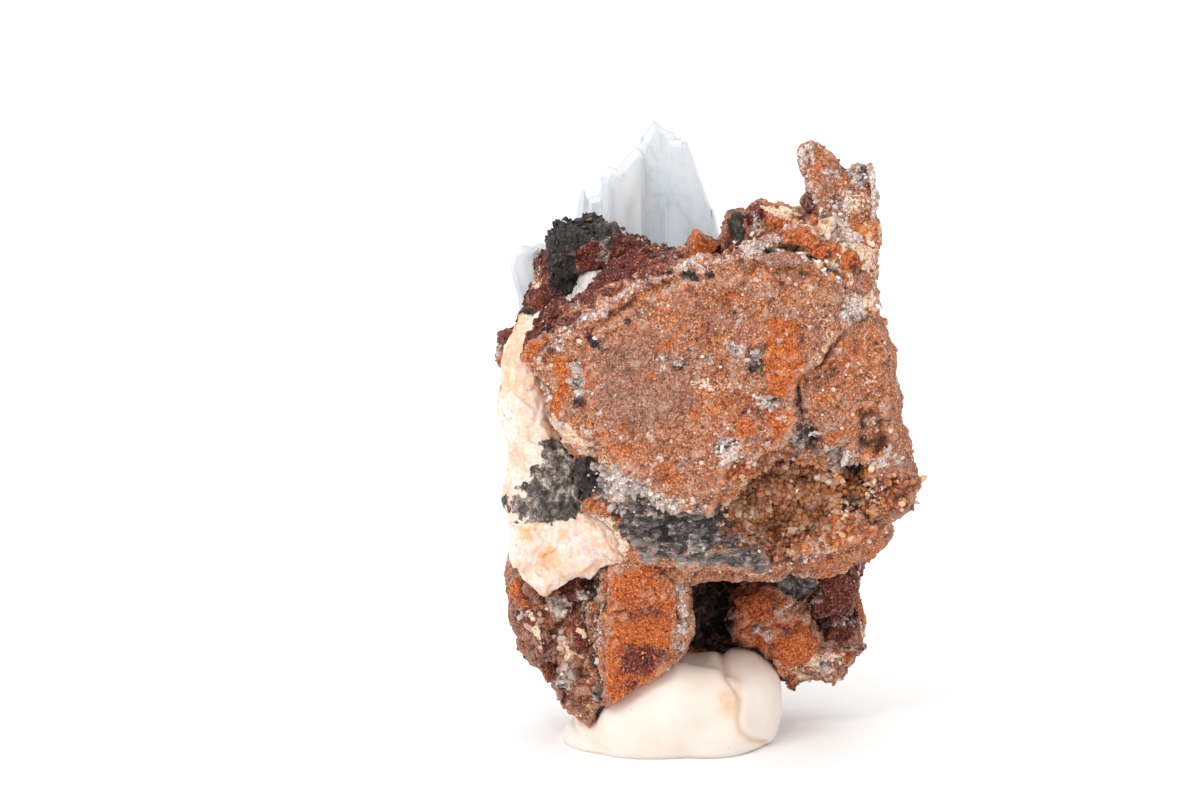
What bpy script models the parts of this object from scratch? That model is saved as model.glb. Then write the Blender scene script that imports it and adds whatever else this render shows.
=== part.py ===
"""Blue barite on iron-stained vein rock, standing in a wad of mounting putty.

World frame: +X to the viewer's right, +Y away from the viewer, +Z up. The origin is on the
surface that the putty stands on, under the middle of the specimen. Metres; the sizes below
are written in millimetres and turned to metres by MM.

The rock is laid down in bands from front to back, as the vein grew: a slab of sandy wall
rock, a band of white calcite, an iron and manganese crust, and the barite on top of that.
"""

import math
from typing import NamedTuple

import bmesh
import bpy
from mathutils import Matrix, Vector
from mathutils.bvhtree import BVHTree

MM = 0.001

# Driving sizes, in millimetres
GAP = 0.3             # clearance between two pieces that grew against each other
LUMP_GAP = 0.42       # the same, measured before a socket's surface is thinned out
ROCK_VOXEL = 0.42     # grain of the lump that the blocks are merged into
VEIN_VOXEL = 0.36
ROCK_FACES = 4300     # faces left on the rock before its sockets are cut
VEIN_FACES = 1150
VEIN_SOCKET_FACES = 1000
ROUGH_COARSE = 0.95   # height of the broken relief, coarse and fine
ROUGH_FINE = 0.45
COARSE_GRAIN = 3.4    # width of that relief
FINE_GRAIN = 1.25
VEIN_ROUGHNESS = 0.6  # the cleaved calcite's relief against the rock's
WELD = 0.0005         # points nearer than this are one point
SHARP_ANGLE = 20      # degrees between faces that meet in a crisp crystal edge

# Front-view outlines, (x, z) in millimetres, each at the depth of its own block
MAIN_DISC = [
    (-14.0, 31.5), (-13.4, 33.1), (-12.2, 34.1), (-10.8, 35.2), (-9.4, 35.4), (-8.2, 36.8),
    (-7.0, 37.7), (-5.0, 38.7), (-2.2, 38.8), (0.0, 39.2), (2.4, 39.6), (5.4, 39.9),
    (8.6, 38.6), (10.3, 36.0), (10.0, 33.4), (8.9, 31.5), (7.2, 30.4), (6.7, 28.6),
    (7.2, 26.0), (7.6, 23.6), (5.0, 24.3), (3.4, 23.0), (2.0, 21.2), (0.8, 20.4),
    (-2.5, 20.1), (-4.8, 21.3), (-6.4, 22.3), (-8.4, 24.1), (-10.0, 25.4), (-11.6, 26.4),
    (-12.2, 28.5), (-12.4, 30.6),
]
RIGHT_FACET = [
    (5.0, 33.0), (9.6, 35.2), (12.0, 34.2), (13.0, 33.0), (13.6, 31.2), (13.5, 29.3),
    (14.1, 28.2), (14.2, 26.4), (14.6, 25.0), (15.0, 24.0), (14.4, 23.1), (12.2, 22.9),
    (10.0, 23.4), (8.0, 23.5), (5.2, 24.4), (4.6, 28.0),
]
LOWER_LIP = [
    (-7.4, 21.8), (-5.8, 20.8), (-2.0, 21.5), (4.0, 23.8), (10.0, 24.2), (13.0, 23.4),
    (14.3, 21.4), (13.6, 19.4), (12.6, 17.9), (10.6, 16.8), (8.0, 16.2), (5.6, 15.6),
    (3.0, 15.1), (-0.4, 15.1), (-2.2, 15.1), (-4.6, 15.9), (-6.2, 17.2),
]
DRUSE_RIM = [
    (12.4, 24.2), (13.8, 24.4), (14.6, 23.6), (15.2, 22.6), (15.6, 22.0), (15.3, 21.0),
    (15.0, 19.9), (14.2, 19.3), (13.2, 19.2), (12.4, 20.4), (11.8, 22.4),
]
LIP_LEDGE = [
    (9.6, 19.4), (12.8, 19.0), (13.6, 18.3), (13.1, 17.3), (12.4, 16.0), (11.2, 15.4),
    (8.6, 15.8), (8.2, 17.6),
]
RIGHT_COLUMN = [
    (8.0, 41.4), (12.2, 41.7), (12.5, 41.2), (12.6, 40.2), (12.2, 39.2), (12.3, 37.6),
    (12.2, 36.2), (12.4, 35.0), (12.1, 33.7), (10.6, 32.6), (8.4, 34.0), (7.4, 38.4),
]
SPUR = [
    (7.2, 41.6), (7.4, 43.2), (7.6, 44.4), (7.4, 45.1), (7.0, 45.7), (6.9, 46.6), (7.4, 47.1),
    (8.0, 46.9), (8.8, 46.2), (9.4, 45.4), (10.1, 44.7), (10.9, 45.4), (11.6, 45.8),
    (12.0, 45.5), (12.1, 44.4), (12.2, 43.4), (12.0, 42.2), (11.9, 40.8), (9.6, 40.2),
]
UPPER_STEP = [
    (2.9, 39.0), (3.2, 41.2), (3.8, 41.9), (4.6, 41.9), (5.8, 41.5), (6.3, 41.7), (7.4, 42.0),
    (9.4, 41.6), (10.4, 40.2), (9.0, 38.2), (5.6, 38.4),
]
MIDDLE_STEP = [
    (3.0, 38.8), (3.2, 40.4), (4.8, 40.9), (8.2, 40.6), (10.8, 39.6), (11.2, 37.6), (8.0, 37.2),
]
PINNACLE = [
    (1.1, 38.8), (1.3, 40.6), (1.4, 41.7), (1.9, 42.0), (2.5, 41.9), (2.8, 40.6), (3.1, 39.0),
]
RED_FLAKE = [
    (-1.9, 38.0), (-1.7, 39.8), (-1.3, 40.5), (-0.6, 40.8), (0.0, 40.2), (0.7, 39.8), (0.8, 38.4),
]
CORE = [
    (-12.0, 30.0), (-11.4, 34.0), (-8.0, 36.0), (-2.0, 37.2), (3.0, 38.0), (8.6, 38.0),
    (11.0, 35.6), (11.6, 30.0), (12.2, 24.0), (12.4, 17.0), (10.0, 14.6), (4.0, 13.9),
    (-1.6, 13.9), (-6.0, 14.6), (-10.0, 17.0), (-12.0, 22.0),
]
DARK_CRUST = [
    (-13.9, 31.2), (-13.7, 33.0), (-13.4, 35.2), (-12.6, 37.1), (-11.9, 37.4), (-11.8, 38.8),
    (-11.2, 39.8), (-10.0, 40.1), (-8.6, 40.3), (-7.5, 39.8), (-6.4, 39.2), (-5.0, 38.7),
    (-4.0, 38.1), (-2.6, 37.6), (-1.6, 36.4), (-2.0, 32.0), (-8.0, 29.6),
]
BACK_SHELF = [
    (-13.2, 24.0), (-13.6, 27.6), (-12.8, 30.6), (-10.4, 31.4), (-7.0, 30.2), (-3.0, 29.6),
    (0.6, 30.2), (3.4, 32.4), (6.6, 36.4), (10.2, 35.0), (11.4, 30.4), (11.8, 24.0), (11.9, 17.0),
    (9.0, 13.2), (2.6, 12.2), (-4.0, 12.8), (-9.6, 13.6), (-12.6, 18.0),
]
LEFT_KNOB = [
    (-14.3, 31.5), (-15.0, 31.4), (-15.6, 31.1), (-15.9, 30.2), (-16.1, 29.6), (-15.8, 29.0),
    (-15.4, 27.6), (-14.6, 25.6), (-13.2, 26.4), (-12.6, 30.0),
]
LEG_FACE = [
    (-8.1, 16.4), (-8.3, 12.0), (-8.1, 8.0), (-8.0, 4.4), (-6.4, 3.8), (-4.0, 5.0), (-2.5, 6.4),
    (-1.9, 8.2), (-1.6, 9.6), (-1.4, 11.0), (-1.5, 12.4), (-1.8, 14.2), (-2.4, 16.6),
]
LEFT_LEG = [
    (-14.7, 15.4), (-15.0, 13.4), (-15.4, 12.3), (-15.1, 11.2), (-14.8, 9.9), (-14.4, 8.0),
    (-13.8, 7.0), (-13.0, 6.1), (-11.8, 5.4), (-11.3, 4.6), (-10.9, 3.7), (-9.6, 2.8),
    (-8.9, 2.4), (-7.9, 3.0), (-6.8, 4.2), (-6.6, 9.0), (-7.0, 16.6), (-11.0, 17.4),
]
LEG_FLAKES = [
    [(-12.4, 11.6), (-11.2, 11.9), (-10.0, 8.2), (-9.0, 4.2), (-9.8, 3.6), (-11.2, 6.4)],
    [(-14.6, 12.8), (-13.6, 13.6), (-12.2, 10.2), (-12.0, 6.8), (-13.2, 6.8), (-14.2, 9.4)],
    [(-10.4, 12.0), (-8.9, 12.6), (-8.5, 9.0), (-8.8, 5.4), (-9.6, 7.6), (-10.6, 10.0)],
]
RIGHT_FOOT = [
    (2.2, 10.4), (2.0, 8.6), (1.9, 7.4), (2.9, 6.3), (4.6, 5.2), (5.5, 3.8), (6.2, 3.3),
    (7.0, 3.3), (8.0, 4.1), (9.4, 3.7), (10.6, 4.6), (11.4, 5.6), (12.6, 6.2), (12.6, 7.4),
    (11.0, 7.4), (8.8, 7.6), (7.4, 9.4), (5.8, 11.2), (3.9, 11.6),
]
RIGHT_WALL = [
    (5.0, 6.0), (9.6, 4.6), (12.4, 6.4), (12.8, 7.6), (12.3, 8.6), (11.9, 10.0), (12.0, 12.9),
    (13.1, 13.2), (13.2, 15.0), (12.4, 18.0), (6.0, 18.0), (4.4, 12.0),
]
GREY_FLAKE = [
    (5.6, 12.4), (6.4, 13.4), (8.4, 13.7), (8.2, 12.0), (7.2, 11.0), (6.2, 11.2),
]
REAR_WALL = [
    (-10.6, 6.0), (-11.8, 12.0), (-12.0, 18.0), (0.0, 20.0), (10.6, 18.0), (11.4, 10.0),
    (9.6, 5.6), (4.0, 4.4), (-3.0, 4.6), (-7.0, 4.8),
]

VEIN_BAND = [
    (-13.0, 33.2), (-14.2, 32.4), (-14.9, 31.0), (-15.1, 29.4), (-15.4, 27.2), (-15.1, 25.8),
    (-15.0, 24.4), (-14.6, 22.8), (-14.6, 21.0), (-15.1, 19.4), (-14.7, 18.2), (-14.4, 17.4),
    (-10.0, 17.2), (-7.2, 18.0), (-8.0, 20.6), (-8.5, 23.4), (-10.2, 24.8), (-11.8, 25.9),
    (-12.2, 28.0), (-12.3, 31.0),
]
VEIN_WEDGE = [
    (-14.4, 18.2), (-14.8, 16.6), (-14.7, 15.6), (-14.1, 14.7), (-13.3, 13.8), (-12.6, 13.0),
    (-12.1, 12.9), (-11.0, 13.9), (-9.7, 14.5), (-9.1, 14.2), (-8.0, 15.0), (-6.5, 15.6),
    (-6.4, 17.0), (-7.6, 18.8), (-11.0, 19.2),
]
VEIN_SLIVER = [
    (-7.8, 36.6), (-8.7, 36.8), (-9.6, 36.0), (-10.4, 34.8), (-12.4, 33.6), (-13.6, 32.8),
    (-14.2, 32.0), (-13.4, 30.0), (-11.2, 32.0), (-9.0, 34.2), (-7.9, 35.6),
]



class Block(NamedTuple):
    """A block of rock: its outline from the front, and where it starts and ends in depth."""

    outline: list
    front: float
    back: float
    rim: float            # chamfer round its front and its back
    turn: float = 0.0     # how far it slides back per millimetre to the right
    lean: float = 0.0     # and per millimetre upwards
    bow: float = 0.0      # how strongly its two ends curve back


class Blade(NamedTuple):
    """A tabular crystal: its outline, front and back, and its turn about the upright."""

    outline: list
    front: float
    back: float
    turn: float           # degrees


ROCK_BLOCKS = [
    Block(MAIN_DISC, -10.3, -4.0, rim=0.9, bow=0.007),
    Block(RIGHT_FACET, -8.9, -3.0, rim=0.8, turn=0.12),
    Block(LOWER_LIP, -8.3, -1.0, rim=0.9, lean=0.2),
    Block(DRUSE_RIM, -9.0, -4.4, rim=0.7),
    Block(LIP_LEDGE, -7.4, 1.0, rim=0.8),
    Block(RIGHT_COLUMN, -8.6, -2.6, rim=0.8),
    Block(SPUR, -8.2, -5.6, rim=0.6),
    Block(UPPER_STEP, -7.2, -3.6, rim=0.7, lean=0.3),
    Block(MIDDLE_STEP, -8.8, -3.0, rim=0.7, lean=0.2),
    Block(PINNACLE, -7.8, -5.0, rim=0.4),
    Block(RED_FLAKE, -6.6, -5.0, rim=0.3),
    Block(CORE, -7.4, 5.0, rim=1.2),
    Block(DARK_CRUST, -2.6, 4.6, rim=0.9),
    Block(BACK_SHELF, 1.0, 10.2, rim=1.6),
    Block(LEFT_KNOB, -0.6, 3.4, rim=0.6),
    Block(LEG_FACE, -6.6, 1.0, rim=0.5),
    Block(LEFT_LEG, -4.0, 4.4, rim=0.9, turn=-0.26),
    *[Block(flake, -4.9, -1.6, rim=0.3, turn=-0.2) for flake in LEG_FLAKES],
    Block(RIGHT_FOOT, 0.0, 6.4, rim=0.9),
    Block(RIGHT_WALL, 1.9, 8.2, rim=0.8),
    Block(GREY_FLAKE, 0.6, 4.0, rim=0.3),
    Block(REAR_WALL, 4.4, 8.8, rim=1.2),
]
VEIN_BLOCKS = [
    Block(VEIN_BAND, -7.6, 1.6, rim=1.0, bow=0.05),
    Block(VEIN_WEDGE, -7.4, -1.4, rim=0.9, turn=-0.06),
    Block(VEIN_SLIVER, -6.0, -1.2, rim=0.4),
]

FAN_BLADES = [
    Blade([(-5.2, 27.6), (-5.5, 43.6), (-4.9, 45.5), (-4.0, 46.8), (-3.0, 46.0), (-2.3, 45.7),
           (-2.5, 27.6)], 6.3, 8.5, 4),
    Blade([(-3.3, 28.2), (-2.9, 45.4), (-1.5, 45.5), (-1.1, 44.5), (-0.2, 42.0), (0.7, 39.5),
           (1.2, 37.2), (1.7, 33.4), (1.5, 28.2)], 5.5, 7.7, -5),
    Blade([(-7.5, 28.0), (-8.0, 42.5), (-7.5, 43.5), (-6.8, 43.2), (-6.1, 44.1), (-5.3, 44.9),
           (-4.7, 44.4), (-4.5, 28.0)], 5.2, 7.4, 3),
    Blade([(-8.7, 28.8), (-9.0, 40.8), (-8.3, 41.1), (-7.9, 42.3), (-7.1, 42.0), (-6.8, 28.8)],
          6.1, 8.0, -6),
    Blade([(-9.6, 30.2), (-10.0, 38.8), (-9.7, 40.8), (-9.35, 41.5), (-9.0, 40.6), (-8.3, 39.6),
           (-8.1, 30.2)], 6.6, 7.9, 7),
    Blade([(-6.1, 27.2), (-6.2, 40.6), (-5.1, 42.4), (-4.0, 41.4), (-3.6, 27.2)], 7.3, 9.7, -8),
    Blade([(-3.7, 26.4), (-3.5, 39.4), (-2.3, 41.0), (-1.0, 39.5), (-0.8, 26.4)], 6.9, 9.3, 6),
    Blade([(-1.3, 26.0), (-1.0, 33.4), (0.4, 35.3), (2.0, 35.2), (3.2, 33.2), (3.3, 26.0)],
          6.4, 8.8, -9),
    Blade([(-8.2, 26.8), (-8.4, 34.8), (-7.3, 36.6), (-6.0, 35.6), (-5.7, 26.8)], 7.1, 9.1, 11),
]
SIDE_BLADES = [
    Blade([(-14.0, 29.4), (-14.3, 33.6), (-15.0, 36.2), (-14.7, 37.2), (-14.0, 37.6),
           (-12.8, 37.3), (-12.6, 29.4)], 4.8, 6.6, -5),
    Blade([(-13.4, 28.2), (-13.6, 36.5), (-12.8, 37.5), (-11.4, 37.2), (-11.0, 36.0),
           (-10.9, 28.2)], 5.4, 7.2, 6),
    Blade([(-12.5, 27.6), (-12.6, 33.4), (-11.7, 35.0), (-10.6, 34.0), (-10.4, 27.6)],
          6.5, 8.3, -8),
]
BLADE_BEVEL = 0.38    # chisel edge round the big faces of a blade

# Wad of putty: (centre, radii) of the rolls that were thumbed together, cut flat at the foot
PUTTY_ROLLS = [
    ((-6.6, -0.8, -0.4), (4.6, 4.6, 3.4)),
    ((-3.4, -1.0, 0.6), (5.6, 5.6, 5.1)),
    ((0.0, -0.8, 1.9), (4.8, 6.0, 5.5)),
    ((2.7, 0.2, 2.9), (3.2, 5.2, 4.6)),
]
PUTTY_VOXEL = 0.55
PUTTY_FACES = 850
PUTTY_SOCKET_FACES = 420

# Druse: the dished hollow under the slab's right side, and the quartz points that line it
DRUSE_BED = [
    (1.9, 20.6), (2.9, 22.6), (4.6, 23.3), (6.4, 23.0), (8.2, 22.9), (9.3, 21.6), (9.2, 19.4),
    (8.3, 17.6), (6.2, 16.9), (4.3, 17.1), (2.8, 18.2),
]
DRUSE_FRONT = -7.7
DRUSE_THICK = 0.9
DRUSE_DISH = 1.9       # how much deeper the middle of the hollow is than its rim
DRUSE_RIM_WIDTH = 1.3  # width of the steep part of the dish
DRUSE_STEPS = (8, 7)   # columns and rows of crystals, before each is moved off its place
DRUSE_JITTER = 0.42    # how far, as a share of a step
DRUSE_RADIUS = 0.64
DRUSE_HEIGHT = 1.45
DRUSE_SPREAD = 0.34    # how much the crystals' sizes differ
DRUSE_TILT = 0.4
MOUTH_DEPTH = 8.0      # how far in front of the bed the hollow is kept open
HEX_SIDES = 6


def wobble(x, z, seed):
    """A repeatable number from -1 to 1 for a place on the rock."""
    return math.sin(12.9898 * x + 78.233 * z + 37.719 * seed) * math.cos(4.1 * x - 9.7 * z + seed)


def clear_scene():
    for obj in list(bpy.data.objects):
        bpy.data.objects.remove(obj)


def material(name, colour, roughness, metallic=0.0, transmission=0.0):
    made = bpy.data.materials.new(name)
    made.use_nodes = True
    shader = made.node_tree.nodes["Principled BSDF"]
    shader.inputs["Base Color"].default_value = (*colour, 1.0)
    shader.inputs["Roughness"].default_value = roughness
    shader.inputs["Metallic"].default_value = metallic
    shader.inputs["Transmission Weight"].default_value = transmission
    return made


def object_of(bm, name, finish=None):
    """A new object at the origin that holds this bmesh."""
    mesh = bpy.data.meshes.new(name)
    bm.to_mesh(mesh)
    bm.free()
    made = bpy.data.objects.new(name, mesh)
    bpy.context.scene.collection.objects.link(made)
    if finish is not None:
        mesh.materials.append(finish)
    return made


def as_helper(obj):
    obj.hide_render = True
    obj.display_type = "WIRE"
    return obj


def plate(bm, outline, front, back):
    """Adds a flat plate in this outline. Returns its front and its back face."""
    face = bm.faces.new([bm.verts.new((x * MM, front * MM, z * MM)) for x, z in outline])
    made = bmesh.ops.extrude_face_region(bm, geom=[face])["geom"]
    moved = [v for v in made if isinstance(v, bmesh.types.BMVert)]
    bmesh.ops.translate(bm, verts=moved, vec=(0, (back - front) * MM, 0))
    rear = next(f for f in made if isinstance(f, bmesh.types.BMFace))
    bmesh.ops.recalc_face_normals(bm, faces=bm.faces[:])
    return face, rear


def inset(bm, face, width, step):
    """Shrinks a face inside its own rim and moves it along Y."""
    bmesh.ops.inset_region(bm, faces=[face], thickness=width * MM, use_even_offset=False)
    bmesh.ops.translate(bm, verts=face.verts[:], vec=(0, step * MM, 0))


def rock_block(bm, sizes):
    """Adds one block of rock, its rim chamfered and its faces turned, leant and bowed."""
    middle_x = sum(x for x, _ in sizes.outline) / len(sizes.outline)
    middle_z = sum(z for _, z in sizes.outline) / len(sizes.outline)
    before = set(bm.verts)
    face, rear = plate(bm, sizes.outline, sizes.front + sizes.rim, sizes.back - sizes.rim)
    inset(bm, face, sizes.rim, -sizes.rim)
    inset(bm, rear, sizes.rim, sizes.rim)
    for v in set(bm.verts) - before:
        across = v.co.x / MM - middle_x
        above = v.co.z / MM - middle_z
        v.co.y += (sizes.turn * across + sizes.lean * above + sizes.bow * across**2) * MM


def lump(name, blocks, finish=None):
    """The blocks of one piece together, still overlapping."""
    bm = bmesh.new()
    for sizes in blocks:
        rock_block(bm, sizes)
    return object_of(bm, name, finish)


def noise_texture(name, kind, grain):
    made = bpy.data.textures.new(name, kind)
    made.noise_scale = grain * MM
    return made


def roughen(obj, voxel, faces, grow=0.0, rough=1.0):
    """Runs overlapping blocks into one lump and breaks its surface."""
    merge = obj.modifiers.new("merge", "REMESH")
    merge.mode = "VOXEL"
    merge.voxel_size = voxel * MM
    for kind, grain, height in (
        ("VORONOI", COARSE_GRAIN, ROUGH_COARSE),
        ("CLOUDS", FINE_GRAIN, ROUGH_FINE),
    ):
        relief = obj.modifiers.new(kind.lower(), "DISPLACE")
        relief.texture = noise_texture(f"{obj.name}_{kind.lower()}", kind, grain)
        relief.texture_coords = "LOCAL"
        relief.mid_level = 0.5
        relief.strength = rough * height * MM
    if grow:
        swell = obj.modifiers.new("swell", "DISPLACE")
        swell.mid_level = 0.0
        swell.strength = grow * MM
        again = obj.modifiers.new("again", "REMESH")
        again.mode = "VOXEL"
        again.voxel_size = voxel * MM
    thin = obj.modifiers.new("thin", "DECIMATE")
    thin.ratio = min(1.0, faces / max(1, evaluated_faces(obj)))


def evaluated_faces(obj):
    """How many triangles the object's finished surface has."""
    bpy.context.view_layer.update()
    graph = bpy.context.evaluated_depsgraph_get()
    mesh = obj.evaluated_get(graph).to_mesh()
    mesh.calc_loop_triangles()
    count = len(mesh.loop_triangles)
    obj.evaluated_get(graph).to_mesh_clear()
    return count


def cut(obj, cutter, operation="DIFFERENCE"):
    made = obj.modifiers.new(cutter.name, "BOOLEAN")
    made.operation = operation
    made.object = cutter


def settle(obj):
    """Fixes the finished surface and keeps the largest body, without the slivers of a cut."""
    bpy.context.view_layer.update()
    graph = bpy.context.evaluated_depsgraph_get()
    mesh = bpy.data.meshes.new_from_object(obj.evaluated_get(graph))
    obj.modifiers.clear()
    bm = bmesh.new()
    bm.from_mesh(mesh)
    bmesh.ops.remove_doubles(bm, verts=bm.verts[:], dist=WELD * MM)
    bmesh.ops.dissolve_degenerate(bm, edges=bm.edges[:], dist=WELD * MM)
    bodies = []
    left = set(bm.verts)
    while left:
        body, queue = set(), [left.pop()]
        while queue:
            v = queue.pop()
            body.add(v)
            near = {e.other_vert(v) for e in v.link_edges} & left
            left -= near
            queue.extend(near)
        bodies.append(body)
    bodies.sort(key=len)
    loose = [v for body in bodies[:-1] for v in body]
    bmesh.ops.delete(bm, geom=loose, context="VERTS")
    bmesh.ops.triangulate(bm, faces=bm.faces[:])
    bm.to_mesh(mesh)
    bm.free()
    obj.data = mesh


def offset_outline(outline, distance):
    """The outline moved outwards by the same distance all round."""
    turning = sum(
        x0 * z1 - x1 * z0 for (x0, z0), (x1, z1) in zip(outline, outline[1:] + outline[:1])
    )
    side = 1.0 if turning > 0 else -1.0
    moved = []
    for before, here, after in zip(outline[-1:] + outline[:-1], outline, outline[1:] + outline[:1]):
        first = (Vector(here) - Vector(before)).normalized()
        second = (Vector(after) - Vector(here)).normalized()
        out = Vector((first.y + second.y, -first.x - second.x)) * side
        out.normalize()
        reach = distance / max(0.4, out.dot(Vector((first.y, -first.x)) * side))
        moved.append((here[0] + out.x * reach, here[1] + out.y * reach))
    return moved


def blade(sizes, grow, finish):
    """One tabular barite blade: a tall plate with a chisel edge round its two big faces."""
    outline = offset_outline(sizes.outline, grow)
    middle_x = sum(x for x, _ in sizes.outline) / len(sizes.outline)
    middle_y = (sizes.front + sizes.back) / 2
    bm = bmesh.new()
    face, rear = plate(bm, outline, sizes.front - grow, sizes.back + grow)
    bmesh.ops.bevel(
        bm, geom=[*face.edges, *rear.edges], offset=BLADE_BEVEL * MM, affect="EDGES",
        segments=1, profile=0.5, material=-1, clamp_overlap=True,
    )
    bmesh.ops.rotate(
        bm, verts=bm.verts[:], cent=(middle_x * MM, middle_y * MM, 0),
        matrix=Matrix.Rotation(math.radians(sizes.turn), 3, "Z"),
    )
    return object_of(bm, "blade", finish)


def blade_cluster(name, blades, finish, grow=0.0):
    """Blades that grew through each other, joined in one solid."""
    made = [blade(sizes, grow, finish) for sizes in blades]
    whole = made[0]
    whole.name = name
    for other in made[1:]:
        cut(whole, as_helper(other), "UNION")
    settle(whole)
    for other in made[1:]:
        bpy.data.objects.remove(other)
    return whole


def putty(name, finish, faces, grow=0.0):
    """The wad: rolls of putty thumbed together on a flat foot."""
    bm = bmesh.new()
    for centre, radii in PUTTY_ROLLS:
        place = Matrix.Translation(Vector(centre) * MM)
        size = Matrix.Diagonal((*[(r + grow) * MM for r in radii], 1.0))
        bmesh.ops.create_icosphere(bm, subdivisions=4, radius=1.0, matrix=place @ size)
    made = object_of(bm, name, finish)
    merge = made.modifiers.new("merge", "REMESH")
    merge.mode = "VOXEL"
    merge.voxel_size = PUTTY_VOXEL * MM
    soften = made.modifiers.new("soften", "SMOOTH")
    soften.iterations = 3
    thin = made.modifiers.new("thin", "DECIMATE")
    thin.ratio = min(1.0, faces / max(1, evaluated_faces(made)))
    settle(made)
    bm = bmesh.new()
    bm.from_mesh(made.data)
    halves = bmesh.ops.bisect_plane(
        bm, geom=bm.verts[:] + bm.edges[:] + bm.faces[:],
        plane_co=(0, 0, 0), plane_no=(0, 0, -1), clear_outer=True,
    )
    rim = [e for e in halves["geom_cut"] if isinstance(e, bmesh.types.BMEdge)]
    bmesh.ops.edgeloop_fill(bm, edges=rim)
    bmesh.ops.recalc_face_normals(bm, faces=bm.faces[:])
    bm.to_mesh(made.data)
    bm.free()
    return made


def quartz_point(bm, foot, axis, radius, height):
    """One stubby six-sided quartz crystal with a pyramid tip, its root sunk in the bed."""
    turn = axis.to_track_quat("Z", "Y").to_matrix().to_4x4()
    place = Matrix.Translation(foot + axis * height * 0.28) @ turn
    shaft = bmesh.ops.create_cone(
        bm, cap_ends=True, segments=HEX_SIDES, radius1=radius, radius2=radius * 0.86,
        depth=height, matrix=place,
    )["verts"]
    far = max(shaft, key=lambda v: (v.co - foot).dot(axis))
    cap = max(
        (f for f in far.link_faces if len(f.verts) == HEX_SIDES),
        key=lambda f: f.calc_center_median().dot(axis),
    )
    tip = bmesh.ops.poke(bm, faces=[cap])["verts"]
    bmesh.ops.translate(bm, verts=tip, vec=axis * radius * 0.8)


def dish(outline, front, thick, deep):
    """A thin dished bed: its rim follows the outline and its middle lies deeper."""
    steep = 0.72
    bm = bmesh.new()
    faces = plate(bm, outline, front, front + thick)
    for face in faces:
        inset(bm, face, DRUSE_RIM_WIDTH, deep * steep)
    for face in faces:
        middle = bmesh.ops.poke(bm, faces=[face])["verts"]
        bmesh.ops.translate(bm, verts=middle, vec=(0, deep * (1 - steep) * MM, 0))
    bmesh.ops.recalc_face_normals(bm, faces=bm.faces[:])
    return bm


def inside(x, z, outline):
    """Whether a point lies in an outline, by crossings."""
    hit = False
    for (x0, z0), (x1, z1) in zip(outline, outline[1:] + outline[:1]):
        if (z0 > z) != (z1 > z) and x < (x1 - x0) * (z - z0) / (z1 - z0) + x0:
            hit = not hit
    return hit


def druse(name, finish):
    """A crust of quartz points on a thin bed, which lines the hollow under the slab."""
    bed = dish(DRUSE_BED, DRUSE_FRONT, DRUSE_THICK, DRUSE_DISH)
    surface = BVHTree.FromBMesh(bed)
    whole = object_of(bed, name, finish)
    left = min(x for x, _ in DRUSE_BED)
    right = max(x for x, _ in DRUSE_BED)
    low = min(z for _, z in DRUSE_BED)
    high = max(z for _, z in DRUSE_BED)
    middle_x = (left + right) / 2
    middle_z = (low + high) / 2
    kept = offset_outline(DRUSE_BED, -DRUSE_RADIUS * 1.1)
    columns, rows = DRUSE_STEPS
    points = bmesh.new()
    for row in range(rows):
        for column in range(columns):
            across = column + 0.5 + DRUSE_JITTER * wobble(column, row, 1)
            up = row + 0.5 + DRUSE_JITTER * wobble(column, row, 2)
            x = left + (right - left) * across / columns
            z = low + (high - low) * up / rows
            if not inside(x, z, kept):
                continue
            foot, normal, _, _ = surface.ray_cast(Vector((x, -30, z)) * MM, Vector((0, 1, 0)))
            inward = Vector((middle_x - x, 0, middle_z - z)) * 0.06
            lean = inward + Vector((wobble(x, z, 3), -0.3, wobble(x, z, 4))) * DRUSE_TILT
            size = 1 + DRUSE_SPREAD * wobble(z, x, 5)
            quartz_point(
                points, foot, (normal + lean).normalized(),
                DRUSE_RADIUS * size * MM, DRUSE_HEIGHT * size * MM,
            )
    crystals = as_helper(object_of(points, f"{name}_points"))
    union = whole.modifiers.new("points", "BOOLEAN")
    union.operation = "UNION"
    union.object = crystals
    union.use_self = True
    settle(whole)
    bpy.data.objects.remove(crystals)
    return whole


def druse_recess():
    """The place that the crust and its bed take in the rock, with the gap round them."""
    wide = offset_outline(DRUSE_BED, GAP)
    bm = dish(wide, DRUSE_FRONT - MOUTH_DEPTH, DRUSE_THICK + MOUTH_DEPTH + GAP, DRUSE_DISH)
    return object_of(bm, "druse_recess")


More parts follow.
